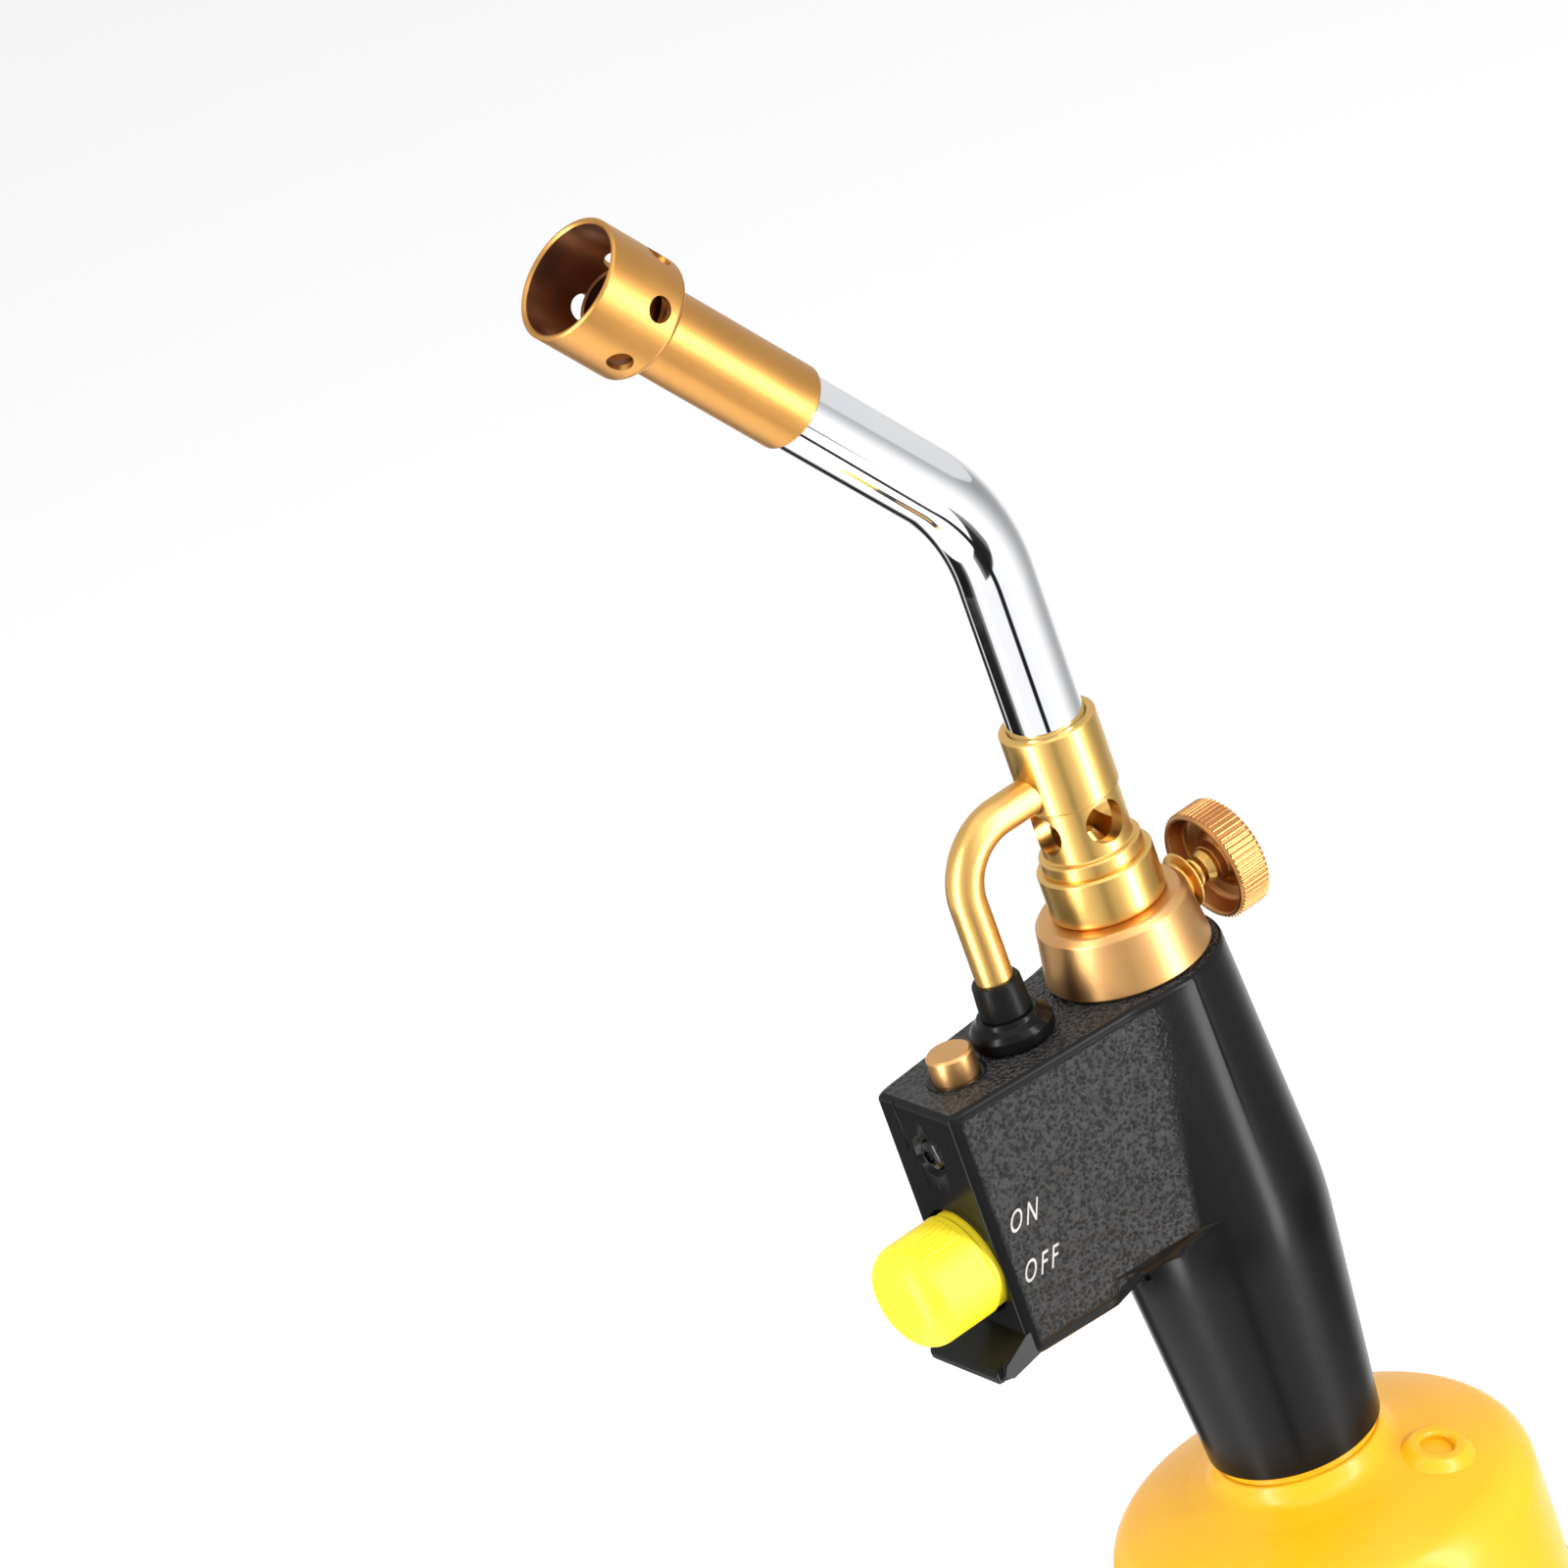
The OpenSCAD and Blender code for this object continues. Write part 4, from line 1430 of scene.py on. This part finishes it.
    def lip(self, finishes: Finishes) -> None:
        """Makes the guard lip under the trigger.

        Args:
            finishes: The torch's materials.
        """
        outline = [(47.2, 49.1), (55.6, 47.55), (56.3, 47.9), (56.5, 49.5), (56.1, 50.15),
                   (50.4, 52.6), (48.9, 53.5), (47.2, 53.6)]
        work = bmesh.new()
        rings = []
        for y in (-self.lip_half, self.lip_half):
            rings.append([work.verts.new(Vector((x, y, z + HEAD_Z)) * MM) for x, z in outline])
        work.faces.new(rings[0])
        work.faces.new(list(reversed(rings[1])))
        count = len(outline)
        for k in range(count):
            m = (k + 1) % count
            work.faces.new((rings[0][m], rings[0][k], rings[1][k], rings[1][m]))
        bmesh.ops.recalc_face_normals(work, faces=work.faces)
        corners = [e for e in work.edges
                   if all(v.co.x > 55.5 * MM for v in e.verts) and abs(
                       e.verts[0].co.y - e.verts[1].co.y) < 1e-9]
        bmesh.ops.bevel(work, geom=corners, offset=1.0 * MM, segments=4, affect="EDGES")
        rims = [e for e in work.edges if e.is_manifold and e.calc_face_angle(0) > 0.5
                and min(v.co.x for v in e.verts) > 49.2 * MM]
        bmesh.ops.bevel(work, geom=rims, offset=0.3 * MM, segments=3, affect="EDGES")
        lip = from_work("guard_lip", work, finishes.coat)
        smooth(lip)
        stand_in(lip, "head", "casting", "front_plate")

    def screw(self, finishes: Finishes, place: Place) -> None:
        """Makes the button-head screw in the front.

        Args:
            finishes: The torch's materials.
            place: The screw's axis.
        """
        f = self.face
        head = turned("front_screw", [
            (0, 43.5), (1.45, 43.5), (1.45, f - 1.3), (3.0, f - 1.3, 0.1),
            (3.0, f - 0.9, 0.2), (2.5, f - 0.25, 0.8), (1.7, f + 0.1, 0.3),
            (0, f + 0.12),
        ], place, finishes.dark_steel, 64)
        socket = drill(place, 1.28, f - 0.9, f + 2, 6)
        carve(head, [socket])
        stand_in(head, "head", "steel", "plate_screw")


def soft_max(a: float, b: float, width: float) -> float:
    """Returns the larger of two lengths, rounded off where they are close."""
    h = max(width - abs(a - b), 0.0) / width
    return max(a, b) + h * h * width * 0.25


def soft_min(a: float, b: float, width: float) -> float:
    """Returns the smaller of two lengths, rounded off where they are close."""
    h = max(width - abs(a - b), 0.0) / width
    return min(a, b) - h * h * width * 0.25


@dataclass
class Trigger:
    """The yellow ignition button with its grip ribs and pointer."""

    radius: float = 9.5
    rear: float = 50.1
    front: float = 64.4
    round_edge: float = 4.5
    dome: float = 0.28
    pointer_length: float = 8.8
    travel: float = 0.006
    skirt: float = 45.3

    def build(self, finishes: Finishes, ribs: RingOfRibs) -> None:
        """Makes the button.

        Args:
            finishes: The torch's materials.
            ribs: The rib tree.
        """
        r, low, high, edge = self.radius, self.rear, self.front, self.round_edge
        outline = [((r - edge) * t, high - self.dome * t * t)
                   for t in (0, 0.25, 0.5, 0.75, 1.0)]
        wall = high - self.dome - edge
        for k in range(1, 9):
            a = math.pi / 2 * k / 8
            outline.append((r - edge + edge * math.sin(a), wall + edge * math.cos(a)))
        steps = 10
        outline += [(r, wall - (wall - low - 0.8) * k / steps) for k in range(1, steps + 1)]
        outline += [(r, low, 0.35), (r - 0.3, low - 0.35, 0.1),
                    (r - 0.3, self.skirt, 0.2), (r - 1.7, self.skirt, 0.2),
                    (r - 1.7, 61.3), (4, 61.3), (4, low + 3, 0.2),
                    (2.55, low + 3), (2.55, 61.4), (0, 61.4)]
        cap = turned("ignition_button", outline, Place((0, 0, 0)), finishes.yellow, 240)
        self.pointer(cap)
        ribs.add(cap, Count=7, Radius=(r - 0.06) * MM, Length=8.2 * MM, Thickness=0.66 * MM,
                 Centre=(low + 5.4) * MM, First_angle=math.radians(58),
                 Sweep=math.radians(46), Finish=finishes.yellow)
        move(cap, forward(TRIGGER_Z))
        smooth(cap, 40.0)
        stand_in(cap, "trigger", "yellow_plastic", "trigger_cap")
        dress("trigger_stem", finishes.steel)
        soft_spring("trigger_spring", "trigger",
                    finishes.steel)

    def pointer(self, cap: bpy.types.Object) -> None:
        """Presses the pointer into the cap's near flank: a flat that widens to the rear.

        Args:
            cap: The cap, lying along Z in metres.
        """
        for v in cap.data.vertices:
            reach, z = math.hypot(v.co.x, v.co.y) / MM, v.co.z / MM
            t = (z - self.rear) / self.pointer_length
            turn = math.atan2(v.co.y, v.co.x) - math.radians(21)
            half = math.radians(15.5 - 9.5 * t)
            if reach < self.radius - 0.1 or not 0 < t < 1 or abs(turn) > half:
                continue
            chord = self.radius * math.cos(half) / math.cos(turn) - 0.1
            v.co.x *= chord / reach
            v.co.y *= chord / reach


def move(piece: bpy.types.Object, place: Place) -> None:
    """Sets a mesh made in metres along Z on an axis."""
    piece.data.transform(place.matrix() @ Matrix.Scale(1 / MM, 4))


@dataclass
class LockAndBoot:
    """The lock button, its bush, and the boot and nut of the igniter's conduit."""

    lock_radius: float = 4.1
    lock_top: float = 101.2
    travel: float = 0.003

    def build(self, finishes: Finishes) -> None:
        """Makes the parts on the casting's top.

        Args:
            finishes: The torch's materials.
        """
        over_lock = Place((middle_x("lock_button"), 0, HEAD_Z))
        r, t = self.lock_radius, self.lock_top
        button = turned("lock_button_cap", [
            (0, 94.3), (r, 94.3), (r, t - 0.45, 0.25), (r - 0.45, t, 0.25),
            (0, t),
        ], over_lock, finishes.pink_brass, 96)
        stand_in(button, "lock", "pink_brass", "lock_button")
        dress("lock_pin", finishes.steel)
        soft_spring("lock_spring", "lock",
                    finishes.steel)
        bush = turned("lock_sleeve", [
            (r + 0.06, 93.4), (4.22, 93.4), (4.22, 96.3), (5.3, 96.32, 0.1),
            (5.2, 96.52, 0.15), (r + 0.06, 96.52, 0.1),
        ], over_lock, finishes.black_plastic, 64)
        stand_in(bush, "head", "black_plastic", "lock_bush")
        over_boot = Place((middle_x("conduit_boot"), 0, HEAD_Z))
        nut = turned("conduit_nut", [
            (1.9, 90.5), (5, 90.5), (5, 96.3), (6.9, 96.32, 0.3),
            (7.3, 97.2, 0.6), (7.3, 98.9, 0.5), (6.6, 99.9, 1.0),
            (5.6, 100.6, 0.5), (5.3, 101.4, 0.25), (3.32, 101.4),
            (3.32, 99.4), (1.9, 99.4),
        ], over_boot, finishes.black_plastic, 96)
        stand_in(nut, "head", "black_plastic", "boot_nut")
        boot = turned("conduit_sleeve", [
            (3.31, 101.42), (4.5, 101.42, 0.1), (4.42, 104, 1),
            (4.25, 107.2, 0.3), (3.95, 107.7, 0.2), (3.31, 107.7, 0.1),
        ], over_boot, finishes.rubber, 96)
        stand_in(boot, "head", "rubber", "conduit_boot")


@dataclass
class Conduit:
    """The brass conduit that carries the igniter's lead to the burner."""

    radius: float = 3.28
    bore: float = 2.38
    bend: float = 11.0

    def build(self, finishes: Finishes) -> None:
        """Makes the bent conduit.

        Args:
            finishes: The torch's materials.
        """
        low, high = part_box("conduit_tube")
        x = high.x / MM - self.radius
        start = Vector((x, 0, low.z / MM))
        climb = HEAD_Z + CONDUIT_Z - self.bend - start.z
        cross = x - self.bend - low.x / MM
        route = route_of(start, Vector((0, 0, 1)), [(climb, -90, self.bend), (cross, 0, 0)])
        pipe = piped("lead_conduit", route, self.radius, self.bore, finishes.brass, 64)
        stand_in(pipe, "head", "brass", "conduit_tube")
        dress("igniter_lead", finishes.silicone)


@dataclass
class BrassColumn:
    """The regulator ring, jet collar, air mixer and tube socket."""

    hole_z: float = 125.1
    hole_radius: float = 3.75
    mixer: float = 7.9

    def build(self, finishes: Finishes) -> None:
        """Makes the turned parts above the casting.

        Args:
            finishes: The torch's materials.
        """
        head = Place((0, 0, HEAD_Z))
        ring = turned("regulator_ring", [
            (9.2, 96.6), (14.2, 96.6), (14.6, 97, 0.3), (13.35, 106.7, 0.7),
            (12.3, 107.9, 0.9), (2, 107.9), (2, 98.6), (9.2, 98.6),
        ], head, finishes.pink_brass, 160)
        carve(ring, [drill(backward(KNOB_Z), 3.26, 6, 20)])
        stand_in(ring, "head", "pink_brass", "regulator_housing")
        collar = turned("jet_collar_ring", [
            (5.25, 107.92), (9.7, 107.92, 0.2), (10.1, 108.5, 0.2),
            (10.1, 116.35, 0.3), (9.65, 116.8, 0.3), (3.5, 116.8),
            (3.5, 109.9), (5.25, 109.9),
        ], head, finishes.bright_brass, 144)
        stand_in(collar, "head", "brass", "jet_collar")
        mixer = turned("mixer_tube", [
            (5.4, 116.82), (8.9, 116.82), (8.9, 119.1, 0.25),
            (8.55, 119.45, 0.2), (8.2, 119.5, 0.1), (self.mixer, 119.75, 0.15),
            (self.mixer, 129.05, 0.1), (7.75, 129.2), (5.4, 129.2),
        ], head, finishes.bright_brass, 192)
        middle = (0, 0, HEAD_Z + self.hole_z)
        carve(mixer, [
            drill(Place(middle, (math.cos(a), math.sin(a), 0), (0, 0, 1)), self.hole_radius, 3, 12,
                  72) for a in (0, math.pi / 2, math.pi, math.pi * 1.5)])
        stand_in(mixer, "head", "brass", "air_mixer")
        socket = turned("burner_socket", [
            (4.2, 129.22), (8.2, 129.22, 0.1), (8.42, 129.5, 0.15),
            (8.42, 142.9, 0.3), (8.0, 143.3, 0.25), (7.1, 143.3, 0.2),
            (6.74, 142.9, 0.2), (6.74, 136.8), (4.2, 136.8),
        ], head, finishes.bright_brass, 160)
        east = forward(CONDUIT_Z)
        carve(socket, [drill(east, 3.3, 6.2, 12, 64), drill(east, 1.6, 0, 7, 32)])
        stand_in(socket, "head", "brass", "tube_socket")
        dress("gas_jet", finishes.bright_brass)
        dress("housing_gasket", finishes.rubber)


@dataclass
class Regulator:
    """The knurled knob with its stem and flared gland."""

    inner: float = 19.3
    width: float = 6.7
    radius: float = 10.0
    knurls: int = 60

    def build(self, finishes: Finishes, ribs: RingOfRibs) -> None:
        """Makes the knob and what it turns in.

        Args:
            finishes: The torch's materials.
            ribs: The rib tree.
        """
        place = backward(KNOB_Z)
        a, b, r = self.inner, self.inner + self.width, self.radius
        knob = turned("regulator_wheel", [
            (2.02, a + 1.2), (3.3, a + 1.2, 0.3), (3.6, a + 2.6, 0.8),
            (5.4, a + 4.2, 1.2), (8.1, a + 3.6, 1.2), (8.9, a + 0.5, 0.5),
            (9.15, a, 0.15), (9.5, a, 0.15), (r - 0.22, a + 0.55, 0.2),
            (r - 0.22, b - 0.75, 0.3), (9.2, b, 0.4), (4.4, b, 0.3),
            (3.9, b - 0.4, 0.3), (2.02, b - 0.4, 0.1),
        ], Place((0, 0, 0)), finishes.knob_brass, 144)
        ribs.add(knob, Count=self.knurls, Radius=(r - 0.27) * MM, Length=(self.width - 1.15) * MM,
                 Thickness=0.66 * MM, Centre=(a + b) / 2 * MM, First_angle=0.0,
                 Sweep=2 * math.pi, Finish=finishes.knob_brass)
        move(knob, place)
        smooth(knob, 32.0)
        stand_in(knob, "knob", "brass", "regulator_knob")
        stem = turned("regulator_spindle", [
            (0, 7.6), (1.9, 7.6), (1.9, 17.0), (2.5, 17.0, 0.15),
            (2.7, 17.6, 0.6), (2.3, 18.6, 0.8), (3.1, 19.9, 0.4),
            (3.1, 20.45), (1.9, 20.45), (1.9, 23.7), (0, 23.7),
        ], place, finishes.bright_brass, 72)
        stand_in(stem, "knob", "brass", "regulator_stem")
        gland = turned("spindle_gland", [
            (1.97, 9.55), (3.2, 9.55), (3.2, 13.2, 0.2), (3.5, 14.2, 0.5),
            (5.0, 14.75, 0.2), (5.2, 15.15, 0.2), (3.6, 15.5, 0.8),
            (2.8, 16.55, 0.3), (1.97, 16.6, 0.1),
        ], place, finishes.bright_brass, 96)
        stand_in(gland, "head", "brass", "needle_gland")
        dress("regulator_needle", finishes.steel)
        dress("knob_screw", finishes.steel)


@dataclass
class Burner:
    """The chromed tube and the slide-on nozzle."""

    tube: float = 6.7
    tube_wall: float = 0.8
    start: float = 136.8
    corner: float = 182.4
    turn: float = 37.1
    bend: float = 36.0
    tube_end: float = 60.0
    barrel_low: float = 42.8
    cup_low: float = 75.9
    mouth: float = 92.2
    cup: float = 10.63
    barrel: float = 7.44
    holes: int = 6
    first_hole: float = 37.8

    def nozzle_place(self) -> Place:
        """Sets the nozzle's axis.

        Returns:
            The axis, from the corner of the tube's centre line.
        """
        lean = math.radians(self.turn)
        axis = (math.sin(lean), 0.0, math.cos(lean))
        return Place((0, 0, HEAD_Z + self.corner), axis, (math.cos(lean), 0, -math.sin(lean)))

    def build(self, finishes: Finishes) -> None:
        """Makes the tube, barrel, cup and flame holder.

        Args:
            finishes: The torch's materials.
        """
        cut = self.bend * math.tan(math.radians(self.turn) / 2)
        legs = [(self.corner - self.start - cut, self.turn, self.bend), (self.tube_end - cut, 0, 0)]
        route = route_of(Vector((0, 0, HEAD_Z + self.start)), Vector((0, 0, 1)), legs, 1.5)
        pipe = piped("burner_pipe", route, self.tube, self.tube - self.tube_wall, finishes.chrome,
                     96)
        stand_in(pipe, "head", "chrome", "burner_tube")
        place = self.nozzle_place()
        r, s0, s1 = self.barrel, self.barrel_low, self.cup_low
        barrel = turned("nozzle_sleeve", [
            (self.tube + 0.06, s0 + 0.2, 0.1), (self.tube + 0.3, s0, 0.1),
            (r - 0.25, s0, 0.2), (r, s0 + 0.3, 0.25), (r, s1 + 1.6),
            (6.3, s1 + 1.6), (6.3, self.tube_end + 1), (self.tube + 0.06,
                                                                          self.tube_end + 1),
        ], place, finishes.nozzle_brass, 144)
        stand_in(barrel, "nozzle", "brass", "nozzle_barrel")
        self.make_cup(finishes, place)
        dress("flame_holder", finishes.copper)
        dress("electrode_insulator", finishes.ceramic)
        dress("spark_electrode", finishes.steel)

    def make_cup(self, finishes: Finishes, place: Place) -> None:
        """Makes the cup with its air holes.

        Args:
            finishes: The torch's materials.
            place: The nozzle's axis.
        """
        s1, s2, r, b = self.cup_low, self.mouth, self.cup, self.barrel

        def inside(point: Vector) -> int:
            """Returns the darker finish for the bore."""
            return 1 if point.x < r - 0.95 and point.y > s1 + 1.5 else 0

        cup = turned("nozzle_cup_shell", [
            (b + 0.02, s1 + 0.1), (b + 0.5, s1, 0.2), (r, s1, 2.3),
            (r, s2 - 0.3, 0.15), (r - 0.35, s2, 0.15), (r - 0.7, s2, 0.1),
            (r - 1.05, s2 - 0.4, 0.1), (r - 1.05, s1 + 2.4, 1.2),
            (b + 0.02, s1 + 1.7),
        ], place, [finishes.nozzle_brass, finishes.copper], 192, 7, 30.0, inside)
        matrix = place.matrix()
        tools = []
        for k in range(self.holes):
            a = math.radians(self.first_hole + 360 * k / self.holes)
            middle = matrix @ Vector((0, 0, s1 + 4.9))
            way = (matrix.to_3x3() @ Vector((math.cos(a), math.sin(a), 0))).normalized()
            tools.append(drill(Place(tuple(middle / MM), tuple(way), tuple(place.axis)), 2.2, 6, 14,
                               48))
        carve(cup, tools)
        stand_in(cup, "nozzle", "brass", "nozzle_cup")


@dataclass
class Lettering:
    """The two words printed beside the trigger."""

    height: float = 3.9
    lean: float = 0.42

    def word(self, text: str, start: Point, finishes: Finishes, casting: BodyCasting,
             name: str) -> None:
        """Prints one word on the side panel.

        Args:
            text: The word.
            start: Distance from the column and height of its lower left corner.
            finishes: The torch's materials.
            casting: The body it is printed on.
            name: The piece's name.
        """
        curve = bpy.data.curves.new(name, "FONT")
        curve.body = text
        curve.size = 1.38 * self.height * MM
        curve.space_character = 1.42
        curve.extrude = 0.035 * MM
        curve.resolution_u = 4
        letters = hang(name, curve)
        graph = bpy.context.evaluated_depsgraph_get()
        mesh = bpy.data.meshes.new_from_object(letters.evaluated_get(graph))
        bpy.data.objects.remove(letters)
        x, z = start
        side = casting.half + casting.slope * (casting.face - x)
        along = Vector((-1, casting.slope, 0)).normalized()
        up = Vector((0, 0, 1)) + along * self.lean
        out = Vector((0, 0, 1)).cross(along)
        if out.y < 0:
            out = -out
        corner = Vector((x, side, z + HEAD_Z)) * MM
        for v in mesh.vertices:
            v.co = corner + along * (v.co.x * 0.6) + up * v.co.y + out * (v.co.z + 0.02 * MM)
        mesh.materials.clear()
        mesh.materials.append(finishes.ink)
        piece = hang(name, mesh)
        work = bmesh.new()
        work.from_mesh(mesh)
        bmesh.ops.remove_doubles(work, verts=work.verts, dist=WELD)
        bmesh.ops.recalc_face_normals(work, faces=work.faces)
        work.to_mesh(mesh)
        work.free()
        stand_in(piece, "head", "pale_plastic")

    def build(self, finishes: Finishes, casting: BodyCasting) -> None:
        """Prints both words.

        Args:
            finishes: The torch's materials.
            casting: The body they are printed on.
        """
        self.word("ON", (45.6, 71.6), finishes, casting, "word_on")
        self.word("OFF", (46.2, 62.0), finishes, casting, "word_off")


class InnerParts:
    """CAD nodes inside the torch that keep their shapes."""

    def build(self, finishes: Finishes) -> None:
        """Dresses each hidden node.

        Args:
            finishes: The torch's materials.
        """
        finish_of = {
            finishes.paint: ("cylinder_neck",),
            finishes.brass: ("inlet_socket", "valve_block", "feed_pipe",
                             "outlet_block", "inlet_filter"),
            finishes.steel: ("cylinder_valve_core", "pin_depressor", "gas_valve_stem"),
            finishes.rubber: ("inlet_seal",),
            finishes.pale_plastic: ("igniter_housing", "igniter_plunger", "selector_collar",
                                    "latch_carriage"),
            finishes.black_plastic: ("trigger_guide",),
        }
        for material, nodes in finish_of.items():
            for node in nodes:
                dress(node, material)


# -------------------------------------------------------------------------- studio


@dataclass(frozen=True)
class Panel:
    """A soft rectangular light."""

    name: str
    at: tuple[float, float, float]
    aim: tuple[float, float, float]
    size: tuple[float, float]
    power: float

    def hang(self) -> bpy.types.Object:
        """Hangs the light.

        Returns:
            The light.
        """
        lamp = bpy.data.lights.new(self.name, "AREA")
        lamp.shape = "RECTANGLE"
        lamp.size, lamp.size_y = self.size
        lamp.energy = self.power
        holder = hang(self.name, lamp)
        holder.location = self.at
        holder.rotation_mode = "QUATERNION"
        way = Vector(self.aim) - Vector(self.at)
        holder.rotation_quaternion = way.to_track_quat("-Z", "Y")
        return holder


@dataclass(frozen=True)
class Strip:
    """A narrow upright light beside the torch, which the camera doesn't see."""

    name: str
    azimuth: float
    width: float
    power: float
    reach: float = 0.5
    middle: float = 0.45
    tall: float = 0.88

    def hang(self) -> None:
        """Hangs the light."""
        a = math.radians(self.azimuth)
        at = (self.reach * math.cos(a), self.reach * math.sin(a), self.middle)
        size = (self.width, self.tall)
        Panel(self.name, at, (0, 0, self.middle), size, self.power).hang().visible_camera = False


@dataclass(frozen=True)
class Card:
    """A darker sheet just over the floor, which only shows in shiny surfaces."""

    name: str
    azimuth: tuple[float, float]
    reach: tuple[float, float]
    greys: tuple[float, ...]
    height: float = 0.002
    steps: int = 24

    def shade(self) -> bpy.types.Material:
        """Makes a matt finish whose greys follow the direction from the torch.

        Returns:
            The material.
        """
        first, last = (math.radians(a) for a in self.azimuth)
        shade = Shader(self.name)
        spot = shade.place()
        turn = shade.sum(How.ARCTAN2, shade.axis(spot, "Y"), shade.axis(spot, "X"))
        wrap = shade.sum(How.WRAP, shade.sum(How.SUBTRACT, turn, first), 2 * math.pi)
        ramp = shade.tree.nodes.new("ShaderNodeValToRGB")
        shade.link(shade.sum(How.DIVIDE, wrap, last - first), ramp.inputs[0])
        stops = ramp.color_ramp.elements
        count = len(self.greys) - 1
        for k in range(1, count):
            stops.new(k / count)
        for stop, grey in zip(stops, self.greys):
            stop.color = (grey, grey, grey, 1)
        shade.colour(ramp.outputs[0])
        shade.set(Roughness=0.9, Specular_IOR_Level=0.0)
        return shade.material

    def lay(self) -> None:
        """Lays the card."""
        first, last = self.azimuth
        verts = []
        for k in range(self.steps + 1):
            a = math.radians(first + (last - first) * k / self.steps)
            verts += [(r * math.cos(a), r * math.sin(a), self.height) for r in self.reach]
        faces = [(2 * k, 2 * k + 1, 2 * k + 3, 2 * k + 2) for k in range(self.steps)]
        mesh = bpy.data.meshes.new(self.name)
        mesh.from_pydata(verts, [], faces)
        mesh.materials.append(self.shade())
        card = hang(self.name, mesh)
        card.visible_camera = False
        card.visible_diffuse = False
        card.visible_shadow = False


@dataclass
class Studio:
    """The floor, the soft lights and the camera."""

    reach: float = 6.0
    sky_strength: float = 0.86
    azimuth: float = 61.53
    elevation: float = 25.06
    roll: float = -20.14
    aim_z: float = 38.15
    distance: float = 1.4306
    shift: tuple[float, float] = (-0.07596, 0.07868)
    lens: float = 192.8
    lights: tuple[Panel | Strip, ...] = (
        Panel("key", (-0.2, 1.6, 1.6), (0.02, 0, 0.4), (1.2, 1.6), 9),
        Panel("front", (1.9, 0.5, 0.9), (0.02, 0, 0.4), (0.7, 1.7), 3),
        Panel("top", (0.1, 0.1, 2.2), (0, 0, 0.4), (1.8, 1.8), 11),
        Strip("left_strip", 2.0, 0.09, 4.0),
        Strip("right_strip", 114.0, 0.1, 4.2),
    )
    cards: tuple[Card, ...] = (
        Card("middle_flag", (49, 64), (0.1, 1.6), (0.9, 0.02, 0.012, 0.012, 0.02, 0.9)),
        Card("edge_flag", (-100, -66), (0.1, 1.6), (0.9, 0.1, 0.012, 0.012, 0.1, 0.9)),
        Card("sleeve_flag", (30, 92), (0.46, 0.7), (0.3, 0.02, 0.012, 0.012, 0.02, 0.3), 0.004),
        Card("front_flag", (-64, -16), (0.46, 0.98), (0.02, 0.012, 0.012, 0.02, 0.3)),
        Card("column_flag", (134, 186), (0.4, 0.72), (0.3, 0.02, 0.012, 0.02, 0.3), 0.006),
        Card("side_flag", (128, 205), (0.25, 5.0), (0.9, 0.7, 0.5, 0.42, 0.5, 0.8)),
    )

    def floor(self) -> None:
        """Lays the pale floor."""
        work = bmesh.new()
        bmesh.ops.create_grid(work, x_segments=8, y_segments=8, size=self.reach)
        shade = Shader("pale_floor")
        cloud = shade.noise(0.6, 2.0)
        shade.colour(shade.blend(cloud, (0.93, 0.93, 0.93), (0.9, 0.9, 0.9)))
        shade.set(Roughness=0.8)
        from_work("floor", work, shade.material)

    def sky(self) -> None:
        """Sets the even pale surroundings."""
        world = bpy.data.worlds.new("studio")
        bpy.context.scene.world = world
        world.use_nodes = True
        back = world.node_tree.nodes["Background"]
        back.inputs["Color"].default_value = (1.0, 1.0, 1.0, 1.0)
        back.inputs["Strength"].default_value = self.sky_strength

    def camera(self) -> None:
        """Sets the long-lens camera."""
        a, e, roll = (math.radians(d) for d in (self.azimuth, self.elevation, self.roll))
        away = Vector((math.cos(e) * math.cos(a), math.cos(e) * math.sin(a), math.sin(e)))
        level = Vector((-math.sin(a), math.cos(a), 0))
        plumb = Vector((-math.sin(e) * math.cos(a), -math.sin(e) * math.sin(a), math.cos(e)))
        c, s = math.cos(roll), math.sin(roll)
        right, up = c * level + s * plumb, -s * level + c * plumb
        lens = bpy.data.cameras.new("view")
        lens.lens = self.lens
        lens.sensor_width = 36.0
        lens.clip_start, lens.clip_end = 0.1, 50.0
        camera = hang("view", lens)
        aim = Vector((0, 0, (HEAD_Z + self.aim_z) * MM))
        camera.location = aim + away * self.distance + right * self.shift[0] + up * self.shift[1]
        camera.rotation_mode = "QUATERNION"
        camera.rotation_quaternion = Matrix((right, up, away)).transposed().to_quaternion()
        bpy.context.scene.camera = camera

    def build(self) -> None:
        """Makes the whole studio."""
        self.floor()
        self.sky()
        self.camera()
        view = bpy.context.scene.view_settings
        view.view_transform = "Standard"
        view.look = "None"
        for light in self.lights:
            light.hang()
        for card in self.cards:
            card.lay()


def main() -> None:
    """Builds the torch and its studio, piece by piece."""
    logging.basicConfig(level=logging.INFO, format="%(message)s")
    Studio().build()
    finishes = Finishes()
    ribs = RingOfRibs("ring_of_ribs")
    GasCylinder().build(finishes)
    casting = BodyCasting()
    casting.build(finishes)
    Trigger().build(finishes, ribs)
    LockAndBoot().build(finishes)
    Conduit().build(finishes)
    BrassColumn().build(finishes)
    Regulator().build(finishes, ribs)
    Burner().build(finishes)
    Lettering().build(finishes, casting)
    InnerParts().build(finishes)


if __name__ == "__main__":
    main()
